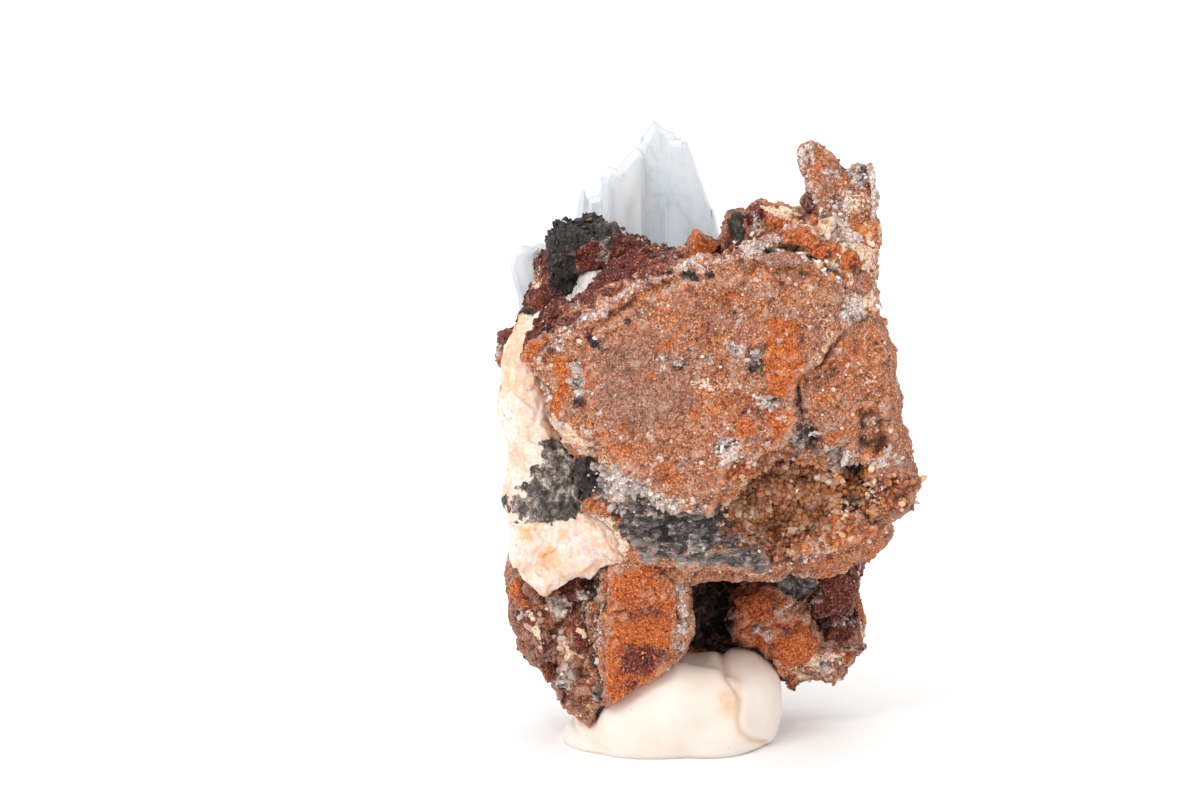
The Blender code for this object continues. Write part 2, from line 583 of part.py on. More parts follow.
def main():
    clear_scene()
    rust = material("iron_stained_rock", (0.40, 0.17, 0.08), 0.85)
    calcite = material("white_calcite", (0.86, 0.76, 0.66), 0.45)
    quartz = material("quartz_druse", (0.52, 0.30, 0.16), 0.25)
    barite = material("blue_barite", (0.74, 0.82, 0.90), 0.15, transmission=0.6)
    clay = material("mounting_putty", (0.85, 0.79, 0.71), 0.6)

    wad = putty("mounting_putty", clay, PUTTY_FACES)
    fan = blade_cluster("barite_fan", FAN_BLADES, barite)
    side = blade_cluster("barite_side_crystal", SIDE_BLADES, barite)
    crust = druse("quartz_druse", quartz)

    sockets = [
        putty("putty_socket", None, PUTTY_SOCKET_FACES, LUMP_GAP),
        blade_cluster("fan_socket", FAN_BLADES, None, GAP),
        blade_cluster("side_socket", SIDE_BLADES, None, GAP),
    ]
    vein = lump("white_vein", VEIN_BLOCKS, calcite)
    roughen(vein, VEIN_VOXEL, VEIN_FACES, rough=VEIN_ROUGHNESS)
    for socket in sockets:
        cut(vein, as_helper(socket))
    settle(vein)

    vein_socket = lump("vein_socket", VEIN_BLOCKS)
    roughen(vein_socket, VEIN_VOXEL, VEIN_SOCKET_FACES, grow=LUMP_GAP, rough=VEIN_ROUGHNESS)
    sockets += [vein_socket, druse_recess()]
    rock = lump("matrix_rock", ROCK_BLOCKS, rust)
    roughen(rock, ROCK_VOXEL, ROCK_FACES)
    for socket in sockets:
        cut(rock, as_helper(socket))
    settle(rock)

    for socket in sockets:
        bpy.data.objects.remove(socket)
    for piece in (fan, side, crust):
        piece.data.set_sharp_from_angle(angle=math.radians(SHARP_ANGLE))
    wad.data.shade_smooth()


main()
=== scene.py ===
"""Blue barite on iron-stained vein rock, standing in a wad of putty: the finish of every surface.

World frame: +X to the viewer's right, +Y away from the viewer, +Z up, in metres. Sizes and
places below are real millimetres, which MM turns to metres.
"""

import logging
import math
from dataclasses import dataclass, field
from enum import Enum
from typing import Any, Sequence

import bmesh
import bpy
import numpy as np
from mathutils import Matrix, Vector, noise


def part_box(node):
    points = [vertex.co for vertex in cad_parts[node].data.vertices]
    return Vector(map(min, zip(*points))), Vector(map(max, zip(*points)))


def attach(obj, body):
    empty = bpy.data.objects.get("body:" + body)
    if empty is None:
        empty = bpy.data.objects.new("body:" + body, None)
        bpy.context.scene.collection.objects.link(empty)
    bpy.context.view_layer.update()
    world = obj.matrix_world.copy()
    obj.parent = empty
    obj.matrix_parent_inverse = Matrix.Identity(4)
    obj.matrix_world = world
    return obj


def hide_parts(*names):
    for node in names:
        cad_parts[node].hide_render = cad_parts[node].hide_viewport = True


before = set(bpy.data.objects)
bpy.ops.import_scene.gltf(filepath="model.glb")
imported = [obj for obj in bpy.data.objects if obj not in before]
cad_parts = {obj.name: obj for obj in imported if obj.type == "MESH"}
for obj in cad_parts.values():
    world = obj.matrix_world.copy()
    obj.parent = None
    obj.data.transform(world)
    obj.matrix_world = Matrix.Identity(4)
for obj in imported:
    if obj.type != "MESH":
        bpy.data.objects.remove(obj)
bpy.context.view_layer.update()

MM = 0.001
LOG = logging.getLogger("specimen")
Outline = Sequence[tuple[float, float]]


# Colours, numbers and nodes


def linear(hex_code: str) -> tuple[float, float, float, float]:
    """Turns an sRGB hex colour to the linear values that a shader takes.

    Args:
        hex_code: the colour, such as "#C8A070".

    Returns:
        Red, green, blue and an alpha of 1.
    """
    parts = [int(hex_code[n:n + 2], 16) / 255 for n in (1, 3, 5)]
    red, green, blue = (p / 12.92 if p <= 0.04045 else ((p + 0.055) / 1.055) ** 2.4 for p in parts)
    return (red, green, blue, 1.0)


def per_metre(size_mm: float) -> float:
    """Gives the texture scale at which one feature is this many millimetres wide."""
    return 1.0 / (size_mm * MM)


def add_node(tree: bpy.types.NodeTree, kind: str, inputs: dict[str | int, Any] | None = None,
             stops: Sequence[tuple[float, str]] = (), **settings: Any) -> bpy.types.Node:
    """Adds one shader node with its settings, its values and its links.

    Args:
        tree: the material's node tree.
        kind: the node's type name.
        inputs: a value or another node's output for each named input.
        stops: places and colours of a colour ramp.
        settings: the node's own properties.

    Returns:
        The new node.
    """
    node = tree.nodes.new(kind)
    for name, value in settings.items():
        setattr(node, name, value)
    for name, value in (inputs or {}).items():
        if isinstance(value, bpy.types.NodeSocket):
            tree.links.new(value, node.inputs[name])
        else:
            node.inputs[name].default_value = value
    if stops:
        ramp = node.color_ramp.elements
        while len(ramp) > 1:
            ramp.remove(ramp[-1])
        ramp[0].position = stops[0][0]
        ramp[0].color = linear(stops[0][1])
        for place, colour in stops[1:]:
            ramp.new(place).color = linear(colour)
    return node


def smooth(values: np.ndarray, low: float, high: float) -> np.ndarray:
    """Rises smoothly from 0 at low to 1 at high."""
    share = np.clip((values - low) / (high - low), 0.0, 1.0)
    return share * share * (3 - 2 * share)


def fractal(points: np.ndarray, size: float, octaves: int = 3, seed: float = 0.0,
            stretch: tuple[float, float, float] = (1.0, 1.0, 1.0)) -> np.ndarray:
    """Fractal noise at each point.

    Args:
        points: places in millimetres, one a row.
        size: width of the largest features in millimetres.
        octaves: how many finer copies are added.
        seed: moves the pattern elsewhere.
        stretch: how much longer a feature is along each axis.

    Returns:
        One value a point, from about -1 to 1.
    """
    places = points / (size * np.array(stretch)) + np.array([seed * 7.31, seed * 3.17, seed * 5.93])
    return np.array([noise.fractal(Vector(p), 1.0, 2.0, octaves) for p in places])


def snapped(points: np.ndarray, directions: Sequence[tuple[float, float, float]], step: float,
            strength: np.ndarray, seed: float) -> np.ndarray:
    """Pulls points towards sets of parallel planes, as a stone breaks along its cleavage.

    Args:
        points: places in millimetres.
        directions: the planes' normals.
        step: distance between planes in millimetres.
        strength: for each point, 0 leaves it and 1 puts it on a plane.
        seed: moves the planes.

    Returns:
        The moved points.
    """
    moved = points.copy()
    for n, way in enumerate(directions):
        normal = np.array(Vector(way).normalized())
        bend = fractal(points, step * 2.6, 3, seed + n) * 2.6
        place = points @ normal / step + bend
        moved += ((np.round(place) - place) * step * strength)[:, None] * normal
    return moved


def outline_distance(places: np.ndarray, outline: Outline, closed: bool) -> np.ndarray:
    """Distance from an outline in the front view, positive inside a closed one.

    Args:
        places: x and z in millimetres, one a row.
        outline: the corners.
        closed: whether the last corner joins the first.

    Returns:
        Millimetres, negative outside, or minus the distance from an open line.
    """
    corners = np.array(outline, dtype=float)
    ends = np.roll(corners, -1, axis=0) if closed else corners[1:]
    nearest = np.full(len(places), 1e9)
    inside = np.zeros(len(places), dtype=bool)
    for start, end in zip(corners, ends):
        run = end - start
        share = np.clip(((places - start) @ run) / max(run @ run, 1e-9), 0, 1)
        nearest = np.minimum(nearest, np.linalg.norm(places - start - share[:, None] * run, axis=1))
        if closed and start[1] != end[1]:
            crosses = (start[1] > places[:, 1]) != (end[1] > places[:, 1])
            at = start[0] + (places[:, 1] - start[1]) * run[0] / run[1]
            inside ^= crosses & (places[:, 0] < at)
    return np.where(inside, nearest, -nearest) if closed else -nearest


# Meshes


def points_of(mesh: bpy.types.Mesh) -> np.ndarray:
    """Reads a mesh's points in millimetres."""
    flat = np.empty(len(mesh.vertices) * 3)
    mesh.vertices.foreach_get("co", flat)
    return flat.reshape(-1, 3) / MM


def normals_of(mesh: bpy.types.Mesh) -> np.ndarray:
    """Reads the outward direction at each of a mesh's points."""
    flat = np.empty(len(mesh.vertices) * 3)
    mesh.vertices.foreach_get("normal", flat)
    return flat.reshape(-1, 3)


def move_points(mesh: bpy.types.Mesh, points: np.ndarray) -> None:
    """Writes a mesh's points, given in millimetres."""
    mesh.vertices.foreach_set("co", (points * MM).ravel())
    mesh.update()


def hollowness(mesh: bpy.types.Mesh, rounds: int) -> np.ndarray:
    """Tells how deep each point lies in a hollow.

    Args:
        mesh: the mesh.
        rounds: how far round it looks, in steps along the edges.

    Returns:
        Millimetres below the smoothed surface, negative on a ridge.
    """
    ends = np.empty(len(mesh.edges) * 2, dtype=int)
    mesh.edges.foreach_get("vertices", ends)
    one, other = ends.reshape(-1, 2).T
    points = points_of(mesh)
    total = len(points)
    count = np.bincount(one, minlength=total) + np.bincount(other, minlength=total)
    level = points
    for _ in range(rounds):
        level = np.column_stack([
            (np.bincount(one, level[other, n], total) + np.bincount(other, level[one, n], total)) / count
            for n in range(3)])
    return np.sum((level - points) * normals_of(mesh), axis=1)


def write_colours(mesh: bpy.types.Mesh, name: str, values: np.ndarray) -> None:
    """Stores three values a point as a colour attribute.

    Args:
        mesh: the mesh.
        name: the attribute's name.
        values: three numbers a point.
    """
    layer = mesh.color_attributes.new(name, "FLOAT_COLOR", "POINT")
    rgba = np.ones((len(mesh.vertices), 4))
    rgba[:, :3] = values
    layer.data.foreach_set("color", rgba.ravel())


def new_object(name: str, mesh: bpy.types.Mesh) -> bpy.types.Object:
    """Puts a mesh in the scene as an object at the origin."""
    made = bpy.data.objects.new(name, mesh)
    bpy.context.scene.collection.objects.link(made)
    return made


def object_from(bm: bmesh.types.BMesh, name: str) -> bpy.types.Object:
    """Turns a bmesh into an object at the origin."""
    mesh = bpy.data.meshes.new(name)
    bm.to_mesh(mesh)
    bm.free()
    return new_object(name, mesh)


def merged_copy(node: str) -> bmesh.types.BMesh:
    """Copies a CAD node's mesh with its loose triangles joined."""
    bm = bmesh.new()
    bm.from_mesh(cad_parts[node].data)
    bmesh.ops.remove_doubles(bm, verts=bm.verts[:], dist=1e-6)
    return bm


def settle(obj: bpy.types.Object) -> None:
    """Fixes an object's modifiers in its mesh."""
    bpy.context.view_layer.update()
    graph = bpy.context.evaluated_depsgraph_get()
    mesh = bpy.data.meshes.new_from_object(obj.evaluated_get(graph))
    obj.modifiers.clear()
    obj.data = mesh


def fine_skin(shape: bmesh.types.BMesh, name: str, swell: float, voxel: float,
              rounds: int) -> bpy.types.Object:
    """Skins a shape with a fine, even mesh, to be worked on.

    Args:
        shape: the shape, used up here.
        name: the new object's name.
        swell: how far it grows, in millimetres, to meet its neighbours.
        voxel: the mesh's fineness in millimetres.
        rounds: how often the surface is smoothed.

    Returns:
        The new object.
    """
    skin = object_from(shape, name)
    move_points(skin.data, points_of(skin.data) + normals_of(skin.data) * swell)
    remesh = skin.modifiers.new("remesh", "REMESH")
    remesh.mode = "VOXEL"
    remesh.voxel_size = voxel * MM
    soften = skin.modifiers.new("soften", "SMOOTH")
    soften.iterations = rounds
    settle(skin)
    skin.data.shade_smooth()
    return skin


def dress(piece: bpy.types.Object, material: bpy.types.Material, slot: str, *nodes: str) -> None:
    """Gives a piece its material and its body, and hides the CAD nodes that it replaces.

    Args:
        piece: the piece.
        material: its finish.
        slot: not used.
        nodes: CAD nodes that it replaces.
    """
    piece.data.materials.clear()
    piece.data.materials.append(material)
    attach(piece, "root")
    if nodes:
        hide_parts(*nodes)
    LOG.info("%s: %d faces", piece.name, len(piece.data.polygons))


# What the surface is made of


class Mineral(Enum):
    """What a spot of the rock is; the value is its place among the masks."""

    OCHRE = 0
    MAROON = 1
    BLACK = 2
    QUARTZ = 3
    CREAM = 4
    BROWN = 5
    STEELY = 6


SAND_GRAINS = ("#C4835A", "#A9683F", "#DDAB86", "#7D4A33", "#F0DCCB", "#CC7736", "#B5714B")
GRAIN_COLOURS: dict[Mineral, tuple[str, ...]] = {
    Mineral.OCHRE: ("#E08030", "#C45F1A", "#EFA050", "#9A4416", "#D06C22"),
    Mineral.MAROON: ("#5E2218", "#7A301E", "#3C1610", "#934A30", "#4A1B14"),
    Mineral.BLACK: ("#1F1917", "#130F0E", "#2F2725", "#463C39", "#251B18"),
    Mineral.QUARTZ: ("#DCD3CB", "#C2B4AA", "#F5F0EB", "#B09F95", "#E6D3C8"),
    Mineral.CREAM: ("#F7DEC2", "#FBEBDC", "#F2C89C", "#FFF7EE"),
    Mineral.BROWN: ("#8E5A40", "#9C674A", "#7B4A34", "#A87350"),
    Mineral.STEELY: ("#4A4648", "#6E6A6C", "#2E2B2D", "#8F8A8C", "#A87A62"),
}


@dataclass(frozen=True)
class Patch:
    """A stain, seam or crust, drawn as seen from the front.

    Its outline is x and z in millimetres at the depth where it lies. A width makes it a
    seam along that line, and without one the outline is closed and filled.
    """

    mineral: Mineral
    outline: Outline
    depth: tuple[float, float] = (-13.0, -3.0)
    width: float = 0.0
    edge: float = 0.5
    strength: float = 1.0

    def share(self, points: np.ndarray, bent: np.ndarray) -> np.ndarray:
        """How much of each point the patch covers.

        Args:
            points: places in millimetres.
            bent: the same places, pushed about a little, so that the edge wanders.

        Returns:
            0 to the patch's strength.
        """
        away = outline_distance(bent[:, (0, 2)], self.outline, closed=not self.width) + self.width
        front, back = self.depth
        in_depth = smooth(points[:, 1], front - 0.6, front) * smooth(-points[:, 1], -back - 0.6, -back)
        return smooth(away, -self.edge, self.edge) * in_depth * self.strength


@dataclass(frozen=True)
class Relief:
    """A ledge, pit, crack or ridge, drawn as seen from the front.

    With a width it is a crack or ridge along the line, and without one a raised or sunken
    plate. The height is in millimetres, and negative cuts in.
    """

    height: float
    outline: Outline
    depth: tuple[float, float] = (-13.0, -3.0)
    width: float = 0.0
    edge: float = 0.3

    def rise(self, points: np.ndarray, bent: np.ndarray) -> np.ndarray:
        """How far each point stands out.

        Args:
            points: places in millimetres.
            bent: the same places, pushed about a little.

        Returns:
            Millimetres along the surface's normal.
        """
        shape = Patch(Mineral.BROWN, self.outline, self.depth, self.width, self.edge)
        return shape.share(points, bent) * self.height


SLAB = (-13.0, -4.5)
CRUST = (-3.6, 6.0)
LEG = (-9.0, 1.5)
FOOT = (-1.5, 9.0)

PATCHES: tuple[Patch, ...] = (
    # Ochre stains on the slab
    Patch(Mineral.OCHRE, [(4.4, 35.2), (6.3, 34.6), (6.7, 31.6), (6.4, 29.2), (4.2, 28.9), (4.1, 31.6)], SLAB, edge=0.3),
    Patch(Mineral.OCHRE, [(4.4, 27.9), (6.1, 27.6), (6.1, 26.2), (4.6, 26.0)], SLAB, edge=0.35),
    Patch(Mineral.OCHRE, [(2.0, 26.9), (3.2, 26.7), (3.2, 26.1), (2.1, 26.2)], SLAB, edge=0.3),
    Patch(Mineral.OCHRE, [(-11.2, 31.4), (-11.1, 29.2), (-11.2, 26.8)], SLAB, width=0.42, edge=0.3),
    Patch(Mineral.OCHRE, [(-8.0, 25.6), (-6.4, 25.9), (-5.6, 24.8), (-6.6, 23.6), (-8.2, 24.2)], SLAB, edge=0.8, strength=0.55),
    Patch(Mineral.OCHRE, [(-4.4, 23.6), (-2.2, 24.4), (-1.2, 23.0), (-2.4, 22.2), (-4.2, 22.4)], SLAB, edge=0.7, strength=0.6),
    Patch(Mineral.BLACK, [(6.6, 29.6), (6.7, 28.6), (7.1, 27.2), (7.5, 25.9), (7.7, 24.9)], SLAB, width=0.1, edge=0.25, strength=0.8),
    Patch(Mineral.MAROON, [(6.4, 27.6), (6.9, 26.2), (7.0, 25.0), (6.0, 24.4)], SLAB, width=0.2, edge=0.35, strength=0.75),
    Patch(Mineral.MAROON, [(6.2, 30.9), (7.4, 31.2), (8.6, 32.0)], SLAB, width=0.1, edge=0.4, strength=0.45),
    Patch(Mineral.OCHRE, [(8.0, 25.9), (11.2, 25.8)], SLAB, width=0.2, edge=0.4, strength=0.8),
    Patch(Mineral.OCHRE, [(11.0, 32.0), (12.6, 31.8), (13.0, 30.6), (11.6, 30.2)], SLAB, edge=0.7, strength=0.5),
    Patch(Mineral.OCHRE, [(11.4, 24.4), (12.6, 24.6), (12.8, 23.8), (11.6, 23.6)], SLAB, edge=0.4, strength=0.7),
    Patch(Mineral.OCHRE, [(-9.6, 31.0), (-8.4, 31.4), (-8.0, 29.8), (-9.2, 29.2)], SLAB, edge=0.6, strength=0.55),
    # Upper right: bright ochre steps, with quartz between them
    Patch(Mineral.OCHRE, [(4.0, 41.0), (5.2, 42.0), (7.6, 41.4), (8.6, 40.4), (6.0, 40.2)], (-10, -4), edge=0.4, strength=0.95),
    Patch(Mineral.OCHRE, [(8.8, 40.4), (10.4, 40.6), (10.8, 39.4), (9.0, 39.0)], (-10, -4), edge=0.5, strength=0.6),
    Patch(Mineral.OCHRE, [(11.5, 41.6), (12.8, 41.4), (12.8, 38.6), (11.6, 39.2)], (-10, -4), edge=0.4, strength=0.9),
    Patch(Mineral.QUARTZ, [(2.0, 40.0), (5.0, 39.4), (7.4, 39.2), (9.0, 38.0), (9.9, 36.6), (10.4, 35.2)], (-12, -4), width=0.34, edge=0.4, strength=0.85),
    Patch(Mineral.QUARTZ, [(9.7, 35.6), (11.6, 35.4), (11.8, 34.4), (10.0, 34.2)], (-12, -4), edge=0.4),
    Patch(Mineral.QUARTZ, [(7.9, 42.0), (10.2, 42.4), (10.8, 40.8), (9.6, 40.0), (8.4, 40.6)], (-10, -4), edge=0.5, strength=0.75),
    Patch(Mineral.QUARTZ, [(10.2, 45.4), (11.6, 45.8), (12.0, 44.6), (10.6, 44.2)], (-10, -4), edge=0.4, strength=0.8),
    Patch(Mineral.QUARTZ, [(3.0, 41.2), (3.8, 42.4), (4.2, 41.2), (3.6, 40.2)], (-10, -4), edge=0.4, strength=0.6),
    Patch(Mineral.QUARTZ, [(7.0, 47.2), (8.0, 46.8), (7.6, 45.4), (7.9, 43.6), (7.2, 43.8), (6.6, 45.6)], (-10, -4), edge=0.6, strength=0.55),
    Patch(Mineral.BROWN, [(7.8, 46.6), (9.6, 46.0), (11.2, 44.0), (12.2, 42.4), (9.4, 41.8), (8.2, 43.6)], (-10, -4), edge=0.8, strength=0.6),
    Patch(Mineral.QUARTZ, [(8.6, 43.4), (9.8, 43.8), (10.6, 42.0), (9.2, 41.6)], (-10, -4), edge=0.7, strength=0.5),
    Patch(Mineral.STEELY, [(11.0, 45.6), (12.2, 45.8), (12.0, 44.6), (11.2, 44.4)], (-10, -4), edge=0.3, strength=0.9),
    Patch(Mineral.QUARTZ, [(12.3, 45.6), (12.9, 45.4), (13.0, 42.0), (12.4, 42.2)], (-10, -4), edge=0.5, strength=0.5),
    Patch(Mineral.MAROON, [(6.8, 43.2), (8.0, 42.8), (8.4, 41.8), (6.8, 41.8)], (-10, -4), edge=0.5, strength=0.7),
    Patch(Mineral.MAROON, [(4.8, 40.0), (6.2, 40.1), (7.0, 39.6), (5.6, 39.3)], (-11, -4), edge=0.3, strength=0.7),
    Patch(Mineral.BLACK, [(6.9, 39.9), (7.6, 40.0), (7.9, 39.2), (7.2, 39.1)], (-11, -4), edge=0.3, strength=0.75),
    Patch(Mineral.BLACK, [(8.1, 39.5), (8.6, 39.5), (8.6, 38.9), (8.1, 39.0)], (-11, -4), edge=0.25, strength=0.75),
    Patch(Mineral.QUARTZ, [(5.4, 41.2), (8.4, 40.3), (10.6, 39.0)], (-11, -4), width=0.2, edge=0.4, strength=0.6),
    Patch(Mineral.QUARTZ, [(10.8, 38.6), (12.2, 38.2), (12.4, 36.4), (11.2, 36.6)], (-11, -4), edge=0.6, strength=0.5),
    Patch(Mineral.OCHRE, [(9.4, 38.6), (10.8, 38.2), (11.2, 36.8), (10.2, 36.6)], (-11, -4), edge=0.6, strength=0.5),
    Patch(Mineral.CREAM, [(3.0, 39.8), (6.0, 40.6), (9.0, 41.4), (12.8, 41.4), (12.8, 35.4), (10.8, 34.6), (9.8, 37.8), (6.4, 39.2)], (-11, -4), edge=1.4, strength=0.6),
    Patch(Mineral.CREAM, [(8.0, 44.8), (10.4, 44.6), (12.4, 43.4), (12.2, 41.8), (9.0, 41.8)], (-11, -4), edge=1.2, strength=0.46),
    # Top edge of the slab: red flake, pinnacle, black specks and a maroon band
    Patch(Mineral.MAROON, [(-2.0, 38.2), (-1.6, 40.6), (-0.6, 41.2), (1.0, 39.8), (0.4, 38.4)], (-8, -4.4), edge=0.3, strength=0.8),
    Patch(Mineral.MAROON, [(1.1, 39.6), (1.5, 42.2), (2.2, 42.2), (2.0, 39.8)], (-9, -4.4), edge=0.3, strength=0.8),
    Patch(Mineral.MAROON, [(-14.8, 31.0), (-12.9, 32.6), (-10.2, 34.9), (-6.4, 37.6), (-2.2, 39.1), (-2.4, 41.0), (-8.0, 41.0), (-16.0, 36.0)], (-13, -3.6), edge=0.4),
    Patch(Mineral.MAROON, [(-0.4, 35.0), (0.6, 35.1), (0.9, 34.4), (0.3, 33.9), (-0.5, 34.2)], SLAB, edge=0.4, strength=0.5),
    Patch(Mineral.QUARTZ, [(-12.6, 32.1), (-9.8, 34.3), (-6.2, 36.9), (-2.6, 38.5), (-0.4, 39.2)], SLAB, width=0.5, edge=0.9, strength=0.56),
    Patch(Mineral.BLACK, [(-2.0, 38.4), (-0.9, 38.6), (-0.9, 37.8), (-1.9, 37.8)], SLAB, edge=0.25),
    Patch(Mineral.BLACK, [(-0.3, 38.7), (0.3, 38.6), (0.2, 38.0), (-0.3, 38.0)], SLAB, edge=0.25),
    Patch(Mineral.BLACK, [(2.0, 39.4), (2.7, 39.4), (2.6, 38.7), (2.0, 38.7)], SLAB, edge=0.25, strength=0.9),
    Patch(Mineral.BLACK, [(3.4, 39.6), (5.0, 39.8), (5.0, 39.3), (3.6, 39.1)], SLAB, edge=0.25, strength=0.8),
    Patch(Mineral.BLACK, [(-6.7, 34.8), (-5.8, 35.0), (-5.6, 34.2), (-6.5, 33.9)], SLAB, edge=0.35, strength=0.6),
    Patch(Mineral.BLACK, [(-9.0, 33.3), (-7.6, 33.6), (-7.7, 32.6), (-8.8, 32.4)], SLAB, edge=0.4, strength=0.55),
    # Plain brown, fine-grained middle of the slab
    Patch(Mineral.BROWN, [(-8.6, 32.8), (-4.0, 34.0), (-0.6, 31.2), (-1.6, 27.4), (-4.2, 25.6), (-7.4, 26.4), (-9.0, 29.4)], SLAB, edge=2.2, strength=0.66),
    Patch(Mineral.OCHRE, [(8.4, 35.4), (12.6, 33.4), (13.6, 29.6), (10.4, 28.0), (8.2, 30.6)], SLAB, edge=1.8, strength=0.4),
    Patch(Mineral.CREAM, [(9.8, 31.0), (12.2, 31.4), (13.2, 29.8), (11.6, 29.0)], SLAB, edge=1.2, strength=0.36),
    # Crystal-lined pits and pale spots on the slab
    Patch(Mineral.QUARTZ, [(-2.9, 31.9), (-1.8, 31.9), (-1.9, 31.0), (-2.8, 31.1)], SLAB, edge=0.3, strength=0.75),
    Patch(Mineral.QUARTZ, [(-0.4, 32.2), (0.3, 32.3), (0.3, 31.5), (-0.4, 31.5)], SLAB, edge=0.3, strength=0.75),
    Patch(Mineral.QUARTZ, [(1.5, 33.1), (2.4, 33.2), (2.3, 32.0), (1.6, 32.1)], SLAB, edge=0.35, strength=0.75),
    Patch(Mineral.QUARTZ, [(2.8, 32.8), (3.9, 33.0), (4.0, 30.8), (3.0, 30.4), (2.5, 31.4)], SLAB, edge=0.5, strength=0.6),
    Patch(Mineral.QUARTZ, [(3.8, 28.7), (5.6, 28.8), (5.4, 28.0), (4.0, 27.9)], SLAB, edge=0.4, strength=0.75),
    Patch(Mineral.QUARTZ, [(5.6, 36.0), (6.6, 36.4), (6.6, 35.2), (5.8, 35.2)], SLAB, edge=0.5, strength=0.5),
    Patch(Mineral.QUARTZ, [(-10.3, 31.8), (-9.4, 31.6), (-9.4, 28.6), (-10.2, 28.2)], SLAB, edge=0.4, strength=0.85),
    Patch(Mineral.QUARTZ, [(-9.4, 27.0), (-8.2, 26.6), (-8.6, 25.6), (-9.8, 26.0)], SLAB, edge=0.5, strength=0.6),
    Patch(Mineral.QUARTZ, [(0.6, 26.4), (2.2, 25.6), (2.6, 24.2), (0.8, 24.0), (0.0, 25.2)], SLAB, edge=0.6, strength=0.65),
    Patch(Mineral.QUARTZ, [(6.6, 26.6), (7.6, 26.8), (8.0, 25.6), (7.0, 25.0), (6.2, 25.6)], SLAB, edge=0.4, strength=0.8),
    Patch(Mineral.QUARTZ, [(8.6, 24.8), (10.2, 25.0), (11.0, 24.0), (9.4, 23.8)], SLAB, edge=0.5, strength=0.7),
    Patch(Mineral.CREAM, [(-1.8, 30.6), (-0.2, 30.8), (1.4, 30.2), (1.6, 29.6), (-0.6, 29.4), (-1.6, 29.8)], SLAB, edge=0.7, strength=0.45),
    Patch(Mineral.CREAM, [(-10.4, 26.2), (-8.0, 24.3), (-5.6, 22.8), (-3.4, 21.0), (-1.2, 20.9)], SLAB, width=0.3, edge=0.9, strength=0.6),
    Patch(Mineral.QUARTZ, [(-5.4, 25.0), (-3.0, 24.4), (0.4, 23.8), (2.4, 22.4)], SLAB, width=0.3, edge=1.0, strength=0.42),
    Patch(Mineral.QUARTZ, [(-8.6, 33.8), (-5.4, 35.6), (-1.4, 37.0), (3.0, 37.6), (6.2, 37.0)], SLAB, width=0.2, edge=1.1, strength=0.42),
    Patch(Mineral.CREAM, [(6.9, 36.6), (8.4, 35.0), (8.8, 33.0), (7.6, 31.4)], SLAB, width=0.5, edge=1.0, strength=0.48),
    Patch(Mineral.STEELY, [(-9.2, 33.6), (-6.6, 33.4), (-4.6, 31.6), (-6.2, 30.2), (-8.8, 30.6)], SLAB, edge=1.8, strength=0.32),
    # Grey rubble under the slab, and the black sparkling band on the lower lip
    Patch(Mineral.QUARTZ, [(-9.2, 23.2), (-6.8, 23.4), (-4.6, 22.0), (-2.2, 21.0), (-2.4, 19.8), (-5.4, 19.9), (-8.0, 20.6)], (-12, -2), edge=0.6, strength=0.95),
    Patch(Mineral.STEELY, [(-6.4, 20.2), (-5.0, 20.6), (-3.6, 20.1), (-1.2, 20.6), (0.8, 20.8), (1.0, 18.4), (0.2, 16.9), (-3.0, 17.0), (-5.4, 17.2), (-6.6, 18.4)], (-12, -2), edge=0.6, strength=0.95),
    Patch(Mineral.BLACK, [(-5.8, 19.6), (-3.2, 19.9), (0.0, 19.2), (-0.4, 18.2), (-3.4, 18.2), (-5.6, 18.6)], (-12, -2), edge=0.8, strength=0.45),
    Patch(Mineral.STEELY, [(-5.4, 17.4), (-1.6, 16.9), (2.2, 16.9), (4.6, 16.4), (4.4, 15.8), (0.4, 15.9), (-4.6, 16.2)], (-12, -2), edge=0.45, strength=0.7),
    Patch(Mineral.OCHRE, [(-5.2, 16.9), (-4.0, 16.7), (-3.4, 16.0), (-4.8, 15.9)], (-12, -2), edge=0.5, strength=0.55),
    Patch(Mineral.CREAM, [(-4.4, 15.6), (-1.0, 15.3), (2.6, 15.2), (6.0, 15.7)], (-12, -2), width=0.15, edge=0.35, strength=0.55),
    Patch(Mineral.BLACK, [(2.0, 20.9), (3.4, 20.8), (3.2, 20.0), (2.2, 19.8)], (-12, -2), edge=0.35, strength=0.85),
    Patch(Mineral.MAROON, [(1.2, 19.8), (3.2, 19.9), (3.0, 18.2), (1.0, 18.0)], (-12, -2), edge=0.4, strength=0.7),
    Patch(Mineral.OCHRE, [(6.0, 18.2), (9.0, 18.6), (12.2, 19.4), (12.6, 18.0), (9.6, 17.0), (6.4, 16.4)], (-12, -2), edge=0.6, strength=0.7),
    Patch(Mineral.OCHRE, [(0.8, 23.4), (2.8, 24.2), (3.0, 22.6), (1.8, 21.8)], (-12, -4), edge=0.5, strength=0.6),
    Patch(Mineral.CREAM, [(-9.8, 19.4), (-7.4, 18.9), (-5.8, 17.2), (-6.2, 15.9), (-9.2, 15.6)], (-12, -2), edge=0.45, strength=0.95),
    Patch(Mineral.BLACK, [(-10.0, 24.0), (-8.4, 23.5), (-7.6, 22.2), (-8.2, 21.0), (-10.0, 20.4)], (-12, -2), edge=0.5, strength=0.85),
    Patch(Mineral.CREAM, [(-12.0, 27.2), (-10.6, 26.8), (-8.2, 24.2), (-9.0, 23.6), (-11.2, 25.6)], (-12, -2), edge=0.4, strength=0.85),
    Patch(Mineral.MAROON, [(0.6, 18.8), (3.0, 18.4), (5.8, 16.6), (4.0, 15.8), (0.0, 16.4)], (-12, -2), edge=0.8, strength=0.5),
